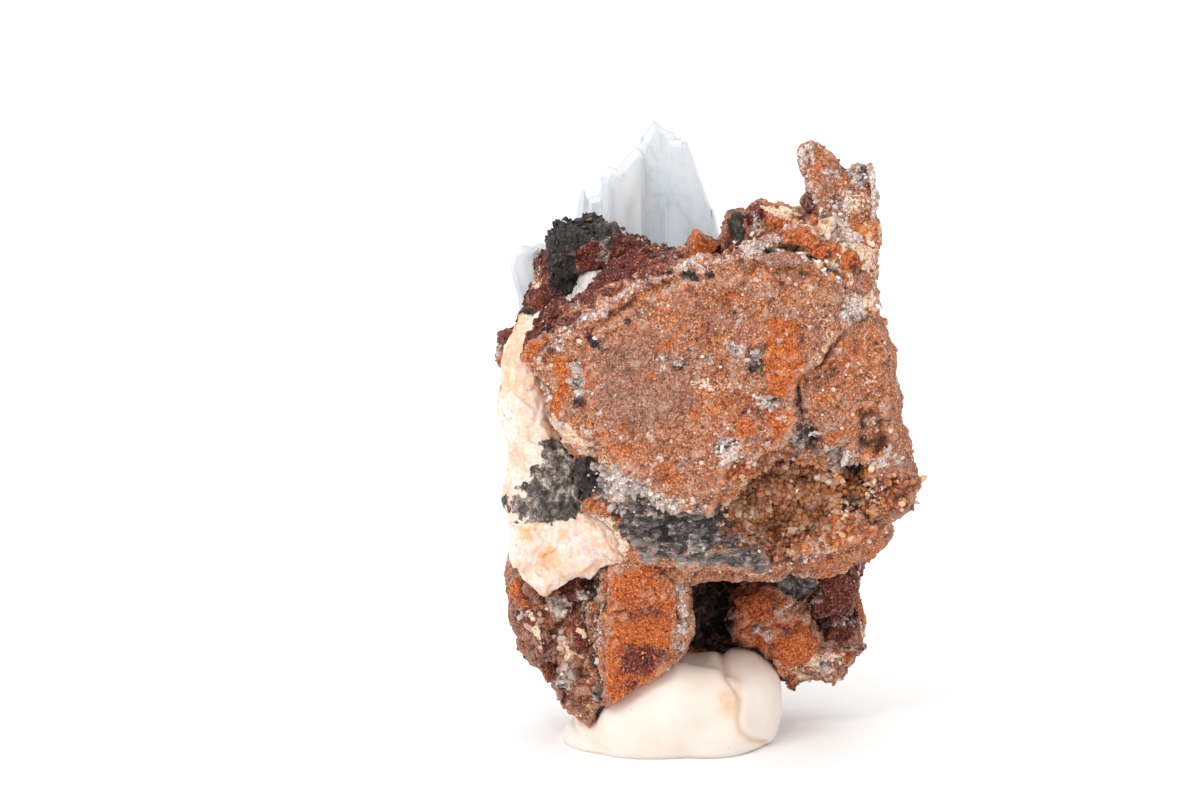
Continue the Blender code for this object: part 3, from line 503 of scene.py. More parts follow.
    Patch(Mineral.STEELY, [(-0.6, 19.6), (1.8, 19.8), (3.0, 18.4), (5.6, 16.8), (4.6, 15.6), (0.6, 16.0)], (-12, -2), edge=0.8, strength=0.5),
    Patch(Mineral.MAROON, [(2.4, 18.2), (5.6, 17.6), (8.4, 16.6), (7.4, 15.4), (3.0, 15.4)], (-12, -2), edge=0.8, strength=0.55),
    Patch(Mineral.MAROON, [(-7.2, 20.6), (-6.2, 20.4), (-6.2, 19.0), (-7.2, 19.0)], (-12, -2), edge=0.3, strength=0.8),
    # Dark hollow and crystal rim at the right
    Patch(Mineral.BLACK, [(9.0, 23.2), (11.2, 23.0), (12.0, 21.6), (10.6, 20.4), (9.2, 21.2)], (-12, -2), edge=0.5, strength=0.8),
    Patch(Mineral.BLACK, [(10.2, 20.4), (12.6, 19.0)], (-12, -2), width=0.22, edge=0.25),
    Patch(Mineral.QUARTZ, [(8.6, 24.0), (10.0, 23.5), (11.6, 23.5), (13.2, 23.8), (14.0, 24.8)], (-12, -2), width=0.12, edge=0.4, strength=0.8),
    Patch(Mineral.BROWN, [(11.4, 23.4), (14.6, 23.8), (15.8, 21.6), (14.6, 19.6), (12.2, 19.6)], (-12, 3), edge=0.8),
    Patch(Mineral.OCHRE, [(12.2, 23.2), (14.8, 23.4), (15.4, 21.4), (13.6, 19.8), (12.0, 21.0)], (-12, 3), edge=0.9, strength=0.5),
    Patch(Mineral.MAROON, [(11.0, 23.2), (13.6, 23.0), (15.2, 22.4), (14.4, 20.2), (11.4, 19.4)], (-12, 3), edge=0.9, strength=0.85),
    Patch(Mineral.STEELY, [(9.2, 23.3), (11.6, 23.2), (12.4, 21.6), (11.2, 20.2), (9.4, 20.6)], (-12, -2), edge=0.7, strength=0.85),
    Patch(Mineral.CREAM, [(7.6, 17.0), (10.0, 17.7), (12.2, 19.0)], (-12, -2), width=0.1, edge=0.35, strength=0.7),
    # Left leg: flat ochre face with a grey crust down both sides
    Patch(Mineral.OCHRE, [(-7.4, 15.2), (-4.0, 15.4), (-2.7, 13.0), (-2.5, 9.0), (-3.4, 6.2), (-5.4, 4.4), (-7.6, 3.6), (-7.5, 9.0)], LEG, edge=0.4, strength=1.0),
    Patch(Mineral.MAROON, [(-6.7, 9.0), (-4.6, 9.2), (-2.9, 8.9), (-3.2, 7.8), (-4.4, 6.9), (-6.6, 6.8)], LEG, edge=0.8, strength=0.74),
    Patch(Mineral.MAROON, [(-6.9, 12.2), (-4.8, 12.5), (-3.0, 12.0), (-3.4, 10.9), (-5.2, 10.8), (-6.9, 11.0)], LEG, edge=1.0, strength=0.56),
    Patch(Mineral.MAROON, [(-6.5, 6.6), (-4.9, 6.8), (-5.2, 5.6), (-6.4, 5.2)], LEG, edge=0.5, strength=0.5),
    Patch(Mineral.BROWN, [(-3.6, 14.6), (-2.4, 13.8), (-2.6, 12.0), (-3.8, 12.6)], LEG, edge=0.6, strength=0.4),
    Patch(Mineral.MAROON, [(-2.6, 13.6), (-2.6, 10.6), (-2.9, 8.6)], LEG, width=0.14, edge=0.5, strength=0.6),
    Patch(Mineral.OCHRE, [(-11.9, 10.2), (-10.6, 9.2), (-9.6, 7.4)], LEG, width=0.3, edge=0.5, strength=0.5),
    Patch(Mineral.MAROON, [(-14.6, 12.0), (-12.8, 9.2), (-11.0, 6.8), (-9.4, 4.0)], LEG, width=0.35, edge=0.7, strength=0.55),
    Patch(Mineral.QUARTZ, [(-9.9, 12.6), (-9.2, 11.2), (-9.4, 9.6)], LEG, width=0.3, edge=0.5, strength=0.6),
    Patch(Mineral.BLACK, [(-11.0, 5.4), (-10.2, 3.6)], LEG, width=0.2, edge=0.5, strength=0.5),
    Patch(Mineral.QUARTZ, [(-8.3, 14.2), (-8.2, 10.0), (-8.2, 4.6)], LEG, width=0.3, edge=0.5, strength=0.6),
    Patch(Mineral.STEELY, [(-8.5, 14.2), (-8.4, 10.0), (-8.2, 3.6)], LEG, width=0.24, edge=0.5, strength=0.66),
    Patch(Mineral.QUARTZ, [(-2.0, 13.6), (-1.8, 11.0), (-2.2, 8.4), (-3.0, 6.6)], LEG, width=0.26, edge=0.4, strength=0.7),
    Patch(Mineral.BLACK, [(-9.0, 14.0), (-8.4, 13.6), (-8.6, 12.2), (-9.4, 12.4)], LEG, edge=0.5, strength=0.85),
    Patch(Mineral.MAROON, [(-12.0, 14.6), (-9.0, 14.4), (-8.8, 11.6), (-10.6, 10.2), (-12.6, 12.0)], LEG, edge=0.8, strength=0.6),
    Patch(Mineral.QUARTZ, [(-11.9, 12.2), (-10.6, 12.2), (-10.3, 11.2), (-11.4, 10.8)], LEG, edge=0.35, strength=0.9),
    Patch(Mineral.QUARTZ, [(-14.2, 12.0), (-13.4, 11.0), (-12.8, 9.8), (-13.4, 9.8), (-14.2, 10.8)], LEG, edge=0.35, strength=0.65),
    Patch(Mineral.CREAM, [(-11.5, 9.0), (-10.6, 8.6), (-9.6, 7.8), (-10.6, 7.6)], LEG, edge=0.35, strength=0.8),
    Patch(Mineral.QUARTZ, [(-11.4, 7.0), (-10.6, 6.9), (-10.0, 5.4), (-10.6, 4.9), (-11.4, 5.8)], LEG, edge=0.3, strength=0.95),
    Patch(Mineral.BROWN, [(-15.4, 14.6), (-12.6, 13.0), (-9.0, 9.0), (-8.6, 3.0), (-11.6, 3.0), (-15.6, 9.0)], LEG, edge=0.8, strength=0.5),
    Patch(Mineral.MAROON, [(-15.6, 13.6), (-13.4, 13.0), (-11.4, 9.6), (-10.2, 6.0), (-8.6, 3.4), (-10.6, 2.6), (-15.0, 9.0)], LEG, edge=1.0, strength=0.45),
    Patch(Mineral.OCHRE, [(-13.6, 12.4), (-12.0, 11.0), (-11.8, 8.0), (-12.8, 8.4), (-14.0, 10.4)], LEG, edge=0.9, strength=0.5),
    Patch(Mineral.CREAM, [(-14.2, 9.8), (-13.2, 9.0), (-12.6, 7.4)], LEG, width=0.2, edge=0.5, strength=0.5),
    Patch(Mineral.CREAM, [(-9.0, 4.6), (-8.8, 3.4), (-9.6, 2.8)], LEG, width=0.15, edge=0.5, strength=0.4),
    # Right leg: ochre lobe in front of a dark red wall
    Patch(Mineral.MAROON, [(6.2, 13.6), (12.2, 13.6), (12.4, 8.4), (10.6, 7.2), (8.8, 8.2), (6.6, 9.8)], FOOT, edge=0.8, strength=0.72),
    Patch(Mineral.OCHRE, [(7.4, 12.4), (10.8, 12.8), (11.4, 10.6), (9.4, 9.4), (7.8, 10.4)], FOOT, edge=1.2, strength=0.42),
    Patch(Mineral.OCHRE, [(2.2, 11.2), (4.6, 11.8), (5.9, 10.6), (5.6, 9.6), (7.4, 9.0), (8.8, 7.6), (7.8, 5.8), (5.0, 6.2), (2.4, 7.4)], FOOT, edge=0.6, strength=0.75),
    Patch(Mineral.MAROON, [(5.2, 9.2), (6.8, 9.0), (7.6, 8.2), (6.6, 7.6), (5.4, 8.2)], FOOT, edge=0.5, strength=0.6),
    Patch(Mineral.MAROON, [(2.4, 8.2), (3.8, 7.8), (3.6, 6.6), (2.4, 6.8)], FOOT, edge=0.6, strength=0.45),
    Patch(Mineral.OCHRE, [(11.6, 10.8), (13.0, 11.6), (13.0, 8.2), (12.0, 7.4)], FOOT, edge=0.4, strength=0.75),
    Patch(Mineral.OCHRE, [(9.4, 12.0), (10.8, 12.2), (10.6, 11.0), (9.6, 10.9)], FOOT, edge=0.6, strength=0.45),
    Patch(Mineral.QUARTZ, [(7.4, 5.8), (9.8, 6.0), (11.2, 7.0), (10.6, 5.4), (8.4, 4.4)], FOOT, edge=0.6, strength=0.46),
    Patch(Mineral.CREAM, [(5.6, 6.6), (8.8, 7.0), (11.4, 7.4), (11.6, 5.4), (8.6, 3.6), (5.8, 4.2)], FOOT, edge=1.2, strength=0.42),
    Patch(Mineral.OCHRE, [(4.6, 6.0), (7.6, 6.6), (9.6, 6.8), (9.4, 4.8), (6.4, 3.4)], FOOT, edge=1.0, strength=0.5),
    Patch(Mineral.QUARTZ, [(4.0, 5.6), (5.6, 5.8), (5.8, 4.8), (4.2, 4.6)], FOOT, edge=0.5, strength=0.42),
    Patch(Mineral.STEELY, [(4.4, 13.0), (8.4, 13.4), (8.2, 11.6), (6.2, 11.0), (4.6, 11.9)], FOOT, edge=0.4, strength=0.9),
    Patch(Mineral.BROWN, [(2.4, 6.6), (11.8, 7.2), (11.4, 4.6), (7.0, 2.4), (2.6, 4.0)], FOOT, edge=0.8, strength=0.3),
    Patch(Mineral.BLACK, [(-1.8, 14.8), (2.6, 14.8), (3.0, 9.0), (1.6, 5.0), (-2.6, 5.4)], (0.5, 7.4), edge=1.0, strength=0.54),
    Patch(Mineral.BROWN, [(-1.8, 14.8), (2.6, 14.8), (3.0, 9.0), (1.6, 5.0), (-2.6, 5.4)], (0.5, 7.4), edge=1.0),
    Patch(Mineral.BLACK, [(2.0, 15.0), (10.0, 16.4), (10.0, 14.8), (2.6, 13.4)], (-4.0, 9.0), edge=0.8, strength=0.8),
    # Crust behind the upper left: black rind over maroon
    Patch(Mineral.MAROON, [(-15.0, 30.0), (-14.4, 36.0), (-12.0, 40.4), (-7.0, 40.8), (-1.0, 38.6), (-1.4, 32.0)], CRUST, edge=0.6, strength=0.95),
    Patch(Mineral.BLACK, [(-12.1, 39.6), (-11.0, 40.7), (-8.1, 40.6), (-7.3, 39.6), (-9.7, 38.9), (-10.2, 37.8), (-9.7, 36.7), (-9.0, 35.5), (-10.2, 34.7), (-11.9, 36.2)],
          CRUST, edge=0.4),
    Patch(Mineral.BLACK, [(-11.0, 40.5), (-8.8, 40.7), (-7.4, 40.2), (-4.4, 38.9), (-1.6, 37.6)], CRUST, width=0.28, edge=0.4),
    Patch(Mineral.STEELY, [(-9.4, 40.4), (-7.6, 40.3), (-6.0, 39.3), (-7.4, 38.4), (-9.2, 38.8)], CRUST, edge=0.6, strength=0.44),
    Patch(Mineral.CREAM, [(-10.0, 39.6), (-8.4, 39.8), (-8.0, 38.8), (-9.4, 38.8)], CRUST, edge=0.8, strength=0.34),
    Patch(Mineral.BLACK, [(-13.8, 34.4), (-12.4, 34.2), (-12.2, 32.4), (-13.8, 32.0)], CRUST, edge=0.4, strength=0.8),
    Patch(Mineral.OCHRE, [(-13.9, 36.6), (-12.3, 36.9), (-12.1, 35.0), (-13.8, 34.7)], CRUST, edge=0.5, strength=0.9),
    Patch(Mineral.CREAM, [(-13.7, 36.4), (-12.6, 36.6), (-12.4, 35.4), (-13.4, 35.2)], CRUST, edge=0.7, strength=0.58),
    Patch(Mineral.MAROON, [(-16.4, 32.0), (-14.2, 32.0), (-14.2, 30.2), (-16.4, 30.2)], (-2.0, 5.0), edge=0.5, strength=0.7),
    Patch(Mineral.OCHRE, [(-16.6, 30.4), (-14.2, 30.4), (-14.2, 26.4), (-16.0, 26.6)], (-2.0, 5.0), edge=0.5, strength=0.75),
)

RELIEFS: tuple[Relief, ...] = (
    Relief(0.5, [(-9.4, 31.0), (-8.6, 33.6), (-4.8, 36.8), (0.0, 38.0), (4.0, 38.4), (7.6, 37.8), (9.4, 36.2), (9.7, 33.6),
                 (8.4, 31.6), (6.7, 30.6), (6.3, 28.8), (6.8, 27.0), (6.0, 25.6), (4.6, 24.6), (1.6, 24.0), (0.6, 21.8), (-3.4, 21.4), (-7.4, 24.6),
                 (-9.2, 27.6)], SLAB, edge=0.3),
    Relief(-0.45, [(6.2, 26.6), (7.8, 26.6), (8.6, 25.2), (7.6, 24.6), (6.2, 25.2)], SLAB, edge=0.4),
    Relief(-0.5, [(11.2, 27.6), (12.6, 28.0), (13.6, 25.2), (12.8, 24.0), (11.2, 25.0)], SLAB, edge=0.4),
    Relief(0.4, [(3.4, 42.4), (5.6, 42.8), (5.4, 41.6), (3.6, 41.2)], (-11, -3), edge=0.25),
    Relief(0.45, [(5.2, 41.4), (7.4, 42.0), (8.8, 40.8), (6.0, 40.2)], (-11, -3), edge=0.25),
    Relief(0.4, [(8.4, 40.2), (10.8, 40.4), (11.6, 38.6), (9.0, 38.4)], (-11, -3), edge=0.25),
    Relief(-0.5, [(5.4, 39.9), (7.6, 39.7), (9.2, 38.0)], (-11, -3), width=0.14, edge=0.35),
    Relief(-0.6, [(10.4, 39.8), (11.0, 38.2), (11.2, 36.2)], (-11, -3), width=0.14, edge=0.35),
    Relief(0.4, [(-6.6, 20.6), (-2.2, 21.0), (0.8, 20.6), (0.6, 19.4), (-3.0, 19.2), (-6.4, 19.4)], (-12, -2), edge=0.3),
    Relief(0.35, [(-5.6, 17.6), (0.6, 17.2), (4.6, 16.6), (4.4, 15.6), (-1.0, 15.4), (-5.4, 15.8)], (-12, -2), edge=0.3),
    Relief(0.4, [(6.0, 18.4), (9.0, 18.8), (12.4, 19.4), (12.8, 17.8), (9.6, 16.8), (6.4, 16.2)], (-12, -2), edge=0.3),
    Relief(0.45, [(11.2, 24.2), (13.0, 24.6), (14.8, 23.8), (15.6, 21.6), (14.6, 20.0), (13.2, 20.4), (12.6, 22.4)], (-12, -2), edge=0.4),
    Relief(0.35, [(-7.4, 15.2), (-4.0, 15.4), (-2.7, 13.0), (-2.5, 9.0), (-3.4, 6.2), (-5.4, 4.4), (-7.6, 3.6), (-7.5, 9.0)], LEG, edge=0.25),
    Relief(0.4, [(-12.4, 12.6), (-10.4, 12.6), (-9.8, 10.6), (-12.0, 10.2)], LEG, edge=0.35),
    Relief(0.4, [(-14.2, 12.4), (-12.2, 9.8), (-11.2, 7.6), (-12.2, 7.4), (-14.6, 10.6)], LEG, edge=0.3),
    Relief(-0.5, [(-12.6, 8.6), (-11.6, 6.4), (-10.8, 4.2)], LEG, width=0.14, edge=0.4),
    Relief(-0.5, [(-10.0, 11.0), (-9.6, 8.6), (-9.2, 6.0)], LEG, width=0.14, edge=0.4),
    Relief(0.6, [(2.2, 10.8), (5.2, 12.2), (7.0, 10.4), (8.8, 7.8), (8.0, 5.2), (5.4, 4.8), (2.6, 7.0)], FOOT, edge=0.6),
    Relief(-0.4, [(3.2, 8.8), (5.6, 9.0), (7.6, 8.4)], FOOT, width=0.14, edge=0.35),
    Relief(-0.45, [(9.2, 13.4), (9.8, 10.4), (9.4, 8.0)], FOOT, width=0.14, edge=0.4),
    Relief(-0.2, [(9.8, 33.4), (8.5, 31.4), (6.7, 30.4)], SLAB, width=0.1, edge=0.4),
    Relief(-0.55, [(6.5, 30.0), (6.6, 28.8), (7.1, 27.2), (7.6, 25.9), (7.8, 24.8)], SLAB, width=0.1, edge=0.3),
    Relief(-1.5, [(-8.2, 2.6), (-8.0, 3.4), (-7.0, 4.4), (-4.6, 6.1), (-2.3, 7.2), (-0.8, 7.4), (-0.8, 2.0)], LEG, edge=0.4),
    Relief(-0.45, [(-2.2, 38.2), (-1.9, 40.8), (0.4, 41.0), (1.0, 39.0), (-0.4, 38.2)], (-7.4, -4.4), edge=0.3),
    Relief(-0.4, [(10.2, 20.4), (12.6, 19.0)], (-12, -2), width=0.16, edge=0.3),
    Relief(-0.9, [(9.2, 23.1), (11.4, 23.0), (12.1, 21.4), (10.6, 20.3), (9.3, 21.2)], (-12, -2), edge=0.7),
    Relief(0.28, [(2.0, 40.0), (5.0, 39.4), (7.4, 39.2), (9.0, 38.0), (9.9, 36.6), (10.4, 35.2)], SLAB, width=0.3, edge=0.4),
    Relief(-0.3, [(-12.6, 31.4), (-10.2, 32.9), (-7.8, 34.6), (-5.2, 36.4), (-2.4, 38.0)], SLAB, width=0.1, edge=0.4),
    Relief(-0.35, [(-2.9, 31.9), (-1.8, 31.9), (-1.9, 31.0), (-2.8, 31.1)], SLAB, edge=0.3),
    Relief(-0.3, [(1.5, 33.1), (2.4, 33.2), (2.3, 32.0), (1.6, 32.1)], SLAB, edge=0.35),
    Relief(-0.4, [(2.8, 32.8), (3.9, 33.0), (4.0, 30.8), (3.0, 30.4), (2.5, 31.4)], SLAB, edge=0.5),
    Relief(0.15, [(4.4, 35.2), (6.3, 34.6), (6.7, 31.6), (6.4, 29.2), (4.2, 28.9), (4.1, 31.6)], SLAB, edge=0.25),
    Relief(-0.35, [(-8.6, 14.4), (-8.6, 9.0), (-8.4, 4.2)], LEG, width=0.1, edge=0.35),
    Relief(-0.6, [(-9.6, 14.4), (-8.5, 13.8), (-8.6, 12.0), (-9.6, 12.4)], LEG, edge=0.5),
    Relief(-0.5, [(4.0, 40.1), (7.6, 39.9), (9.4, 38.8)], (-11, -3), width=0.12, edge=0.35),
    Relief(0.35, [(4.2, 41.2), (5.2, 41.9), (7.6, 41.3), (8.4, 40.6), (6.0, 40.5)], (-11, -3), edge=0.3),
    Relief(0.4, [(-12.9, 32.0), (-12.7, 34.4), (-11.0, 36.6), (-8.6, 38.0), (-6.6, 38.4), (-5.8, 37.0)], CRUST, width=0.5, edge=0.5),
)

BREAKS = ((0.3, 1.0, 0.25), (1.0, -0.2, 0.35), (-0.15, 0.3, 1.0))


@dataclass(frozen=True)
class RockFinish:
    """Iron-stained sandy vein rock, as broken from the wall.

    Taupe sandstone with a fine speckle and a glint here and there; ochre soaks into it in
    ragged spots, and quartz, red-brown and black oxide crusts sit on top.
    """

    name: str = "sandy_rock_broken"
    grain: float = 0.12
    speck: float = 0.48
    streak: float = 0.34
    mottle: float = 2.2
    film: float = 1.7

    def material(self) -> bpy.types.Material:
        """Builds the material.

        Returns:
            A material that reads the rock's mineral masks, and its painted shade and dirt in the hollows.
        """
        made = bpy.data.materials.new(self.name)
        made.use_nodes = True
        tree = made.node_tree
        tree.nodes.clear()
        place = add_node(tree, "ShaderNodeTexCoord").outputs["Object"]
        grain = add_node(tree, "ShaderNodeTexVoronoi", {"Vector": place, "Scale": per_metre(self.grain)})
        specks = add_node(tree, "ShaderNodeTexVoronoi", {"Vector": place, "Scale": per_metre(self.speck)})
        soak, cloud, fine = (add_node(tree, "ShaderNodeTexNoise", {
            "Vector": place, "Scale": per_metre(size), "Detail": detail, "Roughness": rough}).outputs["Fac"]
            for size, detail, rough in ((self.mottle, 8.0, 0.74), (0.8, 6.0, 0.7), (0.26, 4.0, 0.72)))
        pick = add_node(tree, "ShaderNodeSeparateColor", {"Color": grain.outputs["Color"]}).outputs
        spot = add_node(tree, "ShaderNodeSeparateColor", {"Color": specks.outputs["Color"]}).outputs

        gap = add_node(tree, "ShaderNodeMapRange", {
            "Value": grain.outputs["Distance"], "From Min": 0.4, "From Max": 0.85, "To Min": 0.0, "To Max": -0.3})
        texture = add_node(tree, "ShaderNodeMath", {
            0: fine, 1: 1.3, 2: add_node(tree, "ShaderNodeMath", {
                0: pick["Green"], 1: 0.5, 2: -0.34}, operation="MULTIPLY_ADD").outputs[0]},
            operation="MULTIPLY_ADD").outputs[0]
        texture = add_node(tree, "ShaderNodeMath", {0: texture, 1: gap.outputs["Result"]}, operation="ADD").outputs[0]
        stone = add_node(tree, "ShaderNodeValToRGB", {"Fac": texture}, stops=(
            (0.05, "#3E261F"), (0.28, "#7A4F3D"), (0.48, "#A06C53"), (0.68, "#BA846A"), (0.92, "#EDCDBA")))
        rust = add_node(tree, "ShaderNodeValToRGB", {"Fac": texture}, stops=(
            (0.05, "#5C2A17"), (0.33, "#A5582E"), (0.56, "#C37039"), (0.92, "#F0B684")))
        soaked = add_node(tree, "ShaderNodeMapRange", {
            "Value": add_node(tree, "ShaderNodeMath", {
                0: soak, 1: 0.7, 2: add_node(tree, "ShaderNodeMath", {
                    0: cloud, 1: 0.45, 2: -0.07}, operation="MULTIPLY_ADD").outputs[0]},
                operation="MULTIPLY_ADD").outputs[0],
            "From Min": 0.36, "From Max": 0.6, "To Max": 0.97})
        colour = add_node(tree, "ShaderNodeMixRGB", {
            "Fac": soaked.outputs["Result"], "Color1": stone.outputs["Color"],
            "Color2": rust.outputs["Color"]}).outputs["Color"]
        haze = add_node(tree, "ShaderNodeTexNoise", {
            "Vector": place, "Scale": per_metre(self.film), "Detail": 6.0, "Roughness": 0.75}).outputs["Fac"]
        film = add_node(tree, "ShaderNodeMapRange", {"Value": haze, "From Min": 0.52, "From Max": 0.7, "To Max": 0.55})
        colour = add_node(tree, "ShaderNodeMixRGB", {
            "Fac": film.outputs["Result"], "Color1": colour, "Color2": linear("#9D8880")}).outputs["Color"]
        colour = self.specked(tree, colour, specks.outputs["Distance"], fine, spot)

        masks: list[bpy.types.NodeSocket] = []
        for name in ("stains", "crusts", "steely_dirt_shade_ridges"):
            layer = add_node(tree, "ShaderNodeAttribute", attribute_name=name)
            masks += add_node(tree, "ShaderNodeSeparateColor", {"Color": layer.outputs["Color"]}).outputs
        edge = add_node(tree, "ShaderNodeMath", {
            0: cloud, 1: 1.1, 2: add_node(tree, "ShaderNodeMath", {
                0: fine, 1: 0.7, 2: -0.9}, operation="MULTIPLY_ADD").outputs[0]}, operation="MULTIPLY_ADD")
        edge = add_node(tree, "ShaderNodeMath", {
            0: pick["Red"], 1: 0.16, 2: edge.outputs[0]}, operation="MULTIPLY_ADD").outputs[0]
        ramps: dict[Mineral, Sequence[tuple[float, str]]] = {
            Mineral.BROWN: ((0.1, "#5C3B2F"), (0.35, "#8F604B"), (0.6, "#A97560"), (0.9, "#CFA58F")),
            Mineral.OCHRE: ((0.14, "#4E1C0D"), (0.32, "#984215"), (0.5, "#C05C20"), (0.72, "#DA7A33"), (0.95, "#F0B07A")),
            Mineral.MAROON: ((0.1, "#150A07"), (0.32, "#401710"), (0.54, "#732916"), (0.76, "#A04426"), (0.95, "#D09A86")),
            Mineral.CREAM: ((0.1, "#C98F5C"), (0.35, "#EEC294"), (0.6, "#F8DEC4"), (0.9, "#FFF6EC")),
            Mineral.QUARTZ: ((0.1, "#765C52"), (0.3, "#B0948A"), (0.52, "#D5BFB5"), (0.75, "#F0E2DB"), (0.95, "#FFFFFF")),
            Mineral.STEELY: ((0.05, "#120E0E"), (0.36, "#312827"), (0.52, "#584C4A"), (0.7, "#8B7E79"), (0.95, "#EEE6E0")),
            Mineral.BLACK: ((0.1, "#0A0706"), (0.4, "#1F1715"), (0.65, "#342926"), (0.85, "#584B47"), (0.97, "#94877F")),
        }
        soaks = {Mineral.BROWN: (0.2, 0.85), Mineral.MAROON: (0.32, 0.72), Mineral.OCHRE: (0.32, 0.74), Mineral.QUARTZ: (0.38, 0.68)}
        streak = add_node(tree, "ShaderNodeTexNoise", {
            "Vector": add_node(tree, "ShaderNodeMapping", {
                "Vector": place, "Rotation": (0.0, 0.14, 0.0), "Scale": (0.3, 1.0, 1.0)}).outputs["Vector"],
            "Scale": per_metre(self.streak), "Detail": 6.0, "Roughness": 0.78})
        silver = add_node(tree, "ShaderNodeMapRange", {
            "Value": streak.outputs["Fac"], "From Min": 0.34, "From Max": 0.68}).outputs["Result"]
        calm = add_node(tree, "ShaderNodeMath", {
            0: texture, 1: 0.85, 2: add_node(tree, "ShaderNodeMath", {
                0: cloud, 1: 0.16}, operation="MULTIPLY").outputs[0]}, operation="MULTIPLY_ADD").outputs[0]
        feeds = {Mineral.STEELY: silver, Mineral.OCHRE: calm}
        rough: Any = 0.8
        for mineral, stops in ramps.items():
            low, high = soaks.get(mineral, (0.42, 0.6))
            cover = add_node(tree, "ShaderNodeMapRange", {
                "Value": add_node(tree, "ShaderNodeMath", {
                    0: masks[mineral.value], 1: edge}, operation="ADD").outputs[0],
                "From Min": low, "From Max": high}, interpolation_type="SMOOTHSTEP").outputs["Result"]
            own = add_node(tree, "ShaderNodeValToRGB", {
                "Fac": feeds.get(mineral, texture)}, stops=stops)
            colour = add_node(tree, "ShaderNodeMixRGB", {
                "Fac": cover, "Color1": colour, "Color2": own.outputs["Color"]}).outputs["Color"]
            gloss = {Mineral.QUARTZ: 0.34, Mineral.STEELY: 0.36, Mineral.BLACK: 0.5, Mineral.CREAM: 0.45}.get(mineral)
            if gloss:
                rough = add_node(tree, "ShaderNodeMapRange", {
                    "Value": cover, "To Min": rough, "To Max": gloss}).outputs["Result"]
        # Painted shade and dirt: hollows are multiplied towards dark brown, then ridges are made paler.
        colour = add_node(tree, "ShaderNodeMixRGB", {
            "Fac": masks[7], "Color1": colour, "Color2": linear("#4A2A1E")}, blend_type="MULTIPLY").outputs["Color"]
        colour = add_node(tree, "ShaderNodeMixRGB", {
            "Fac": masks[8], "Color1": colour, "Color2": linear("#F2D9C6")}).outputs["Color"]
        glint = add_node(tree, "ShaderNodeMapRange", {
            "Value": pick["Blue"], "From Min": 0.9, "From Max": 0.93, "To Min": 1.0, "To Max": 0.35})
        rough = add_node(tree, "ShaderNodeMath", {0: rough, 1: glint.outputs["Result"]}, operation="MULTIPLY").outputs[0]

        height = add_node(tree, "ShaderNodeMath", {
            0: grain.outputs["Distance"], 1: -0.45, 2: fine}, operation="MULTIPLY_ADD").outputs[0]
        height = add_node(tree, "ShaderNodeMath", {0: cloud, 1: 2.2, 2: height}, operation="MULTIPLY_ADD").outputs[0]
        bump = add_node(tree, "ShaderNodeBump", {
            "Strength": 0.9, "Distance": 0.13 * MM, "Height": height})
        shader = add_node(tree, "ShaderNodeBsdfPrincipled", {
            "Base Color": colour, "Roughness": rough, "Normal": bump.outputs["Normal"]})
        add_node(tree, "ShaderNodeOutputMaterial", {"Surface": shader.outputs["BSDF"]})
        return made

    def specked(self, tree: bpy.types.NodeTree, colour: bpy.types.NodeSocket, distance: bpy.types.NodeSocket,
                fine: bpy.types.NodeSocket, spot: Any) -> bpy.types.NodeSocket:
        """Sets single dark, rusty and pale grains in the stone.

        Args:
            tree: the material's node tree.
            colour: the stone's colour.
            distance: distance from each grain's middle.
            fine: noise that breaks the grains' outlines.
            spot: random values, one set a grain.

        Returns:
            The colour with the grains.
        """
        near = add_node(tree, "ShaderNodeMath", {
            0: fine, 1: 0.5, 2: distance}, operation="MULTIPLY_ADD").outputs[0]
        kinds = ((spot["Red"], 0.5, "#3F302B", 0.85), (spot["Green"], 0.62, "#CB6A2B", 0.8), (spot["Blue"], 0.84, "#E9D6CA", 0.85))
        for chance, rarity, code, weight in kinds:
            size = add_node(tree, "ShaderNodeMapRange", {
                "Value": chance, "From Min": rarity, "From Max": 1.0, "To Min": 0.2, "To Max": 0.66}).outputs["Result"]
            inside = add_node(tree, "ShaderNodeMath", {0: size, 1: near}, operation="SUBTRACT").outputs[0]
            share = add_node(tree, "ShaderNodeMapRange", {
                "Value": inside, "From Min": 0.0, "From Max": 0.08, "To Max": weight}).outputs["Result"]
            colour = add_node(tree, "ShaderNodeMixRGB", {
                "Fac": share, "Color1": colour, "Color2": linear(code)}).outputs["Color"]
        return colour


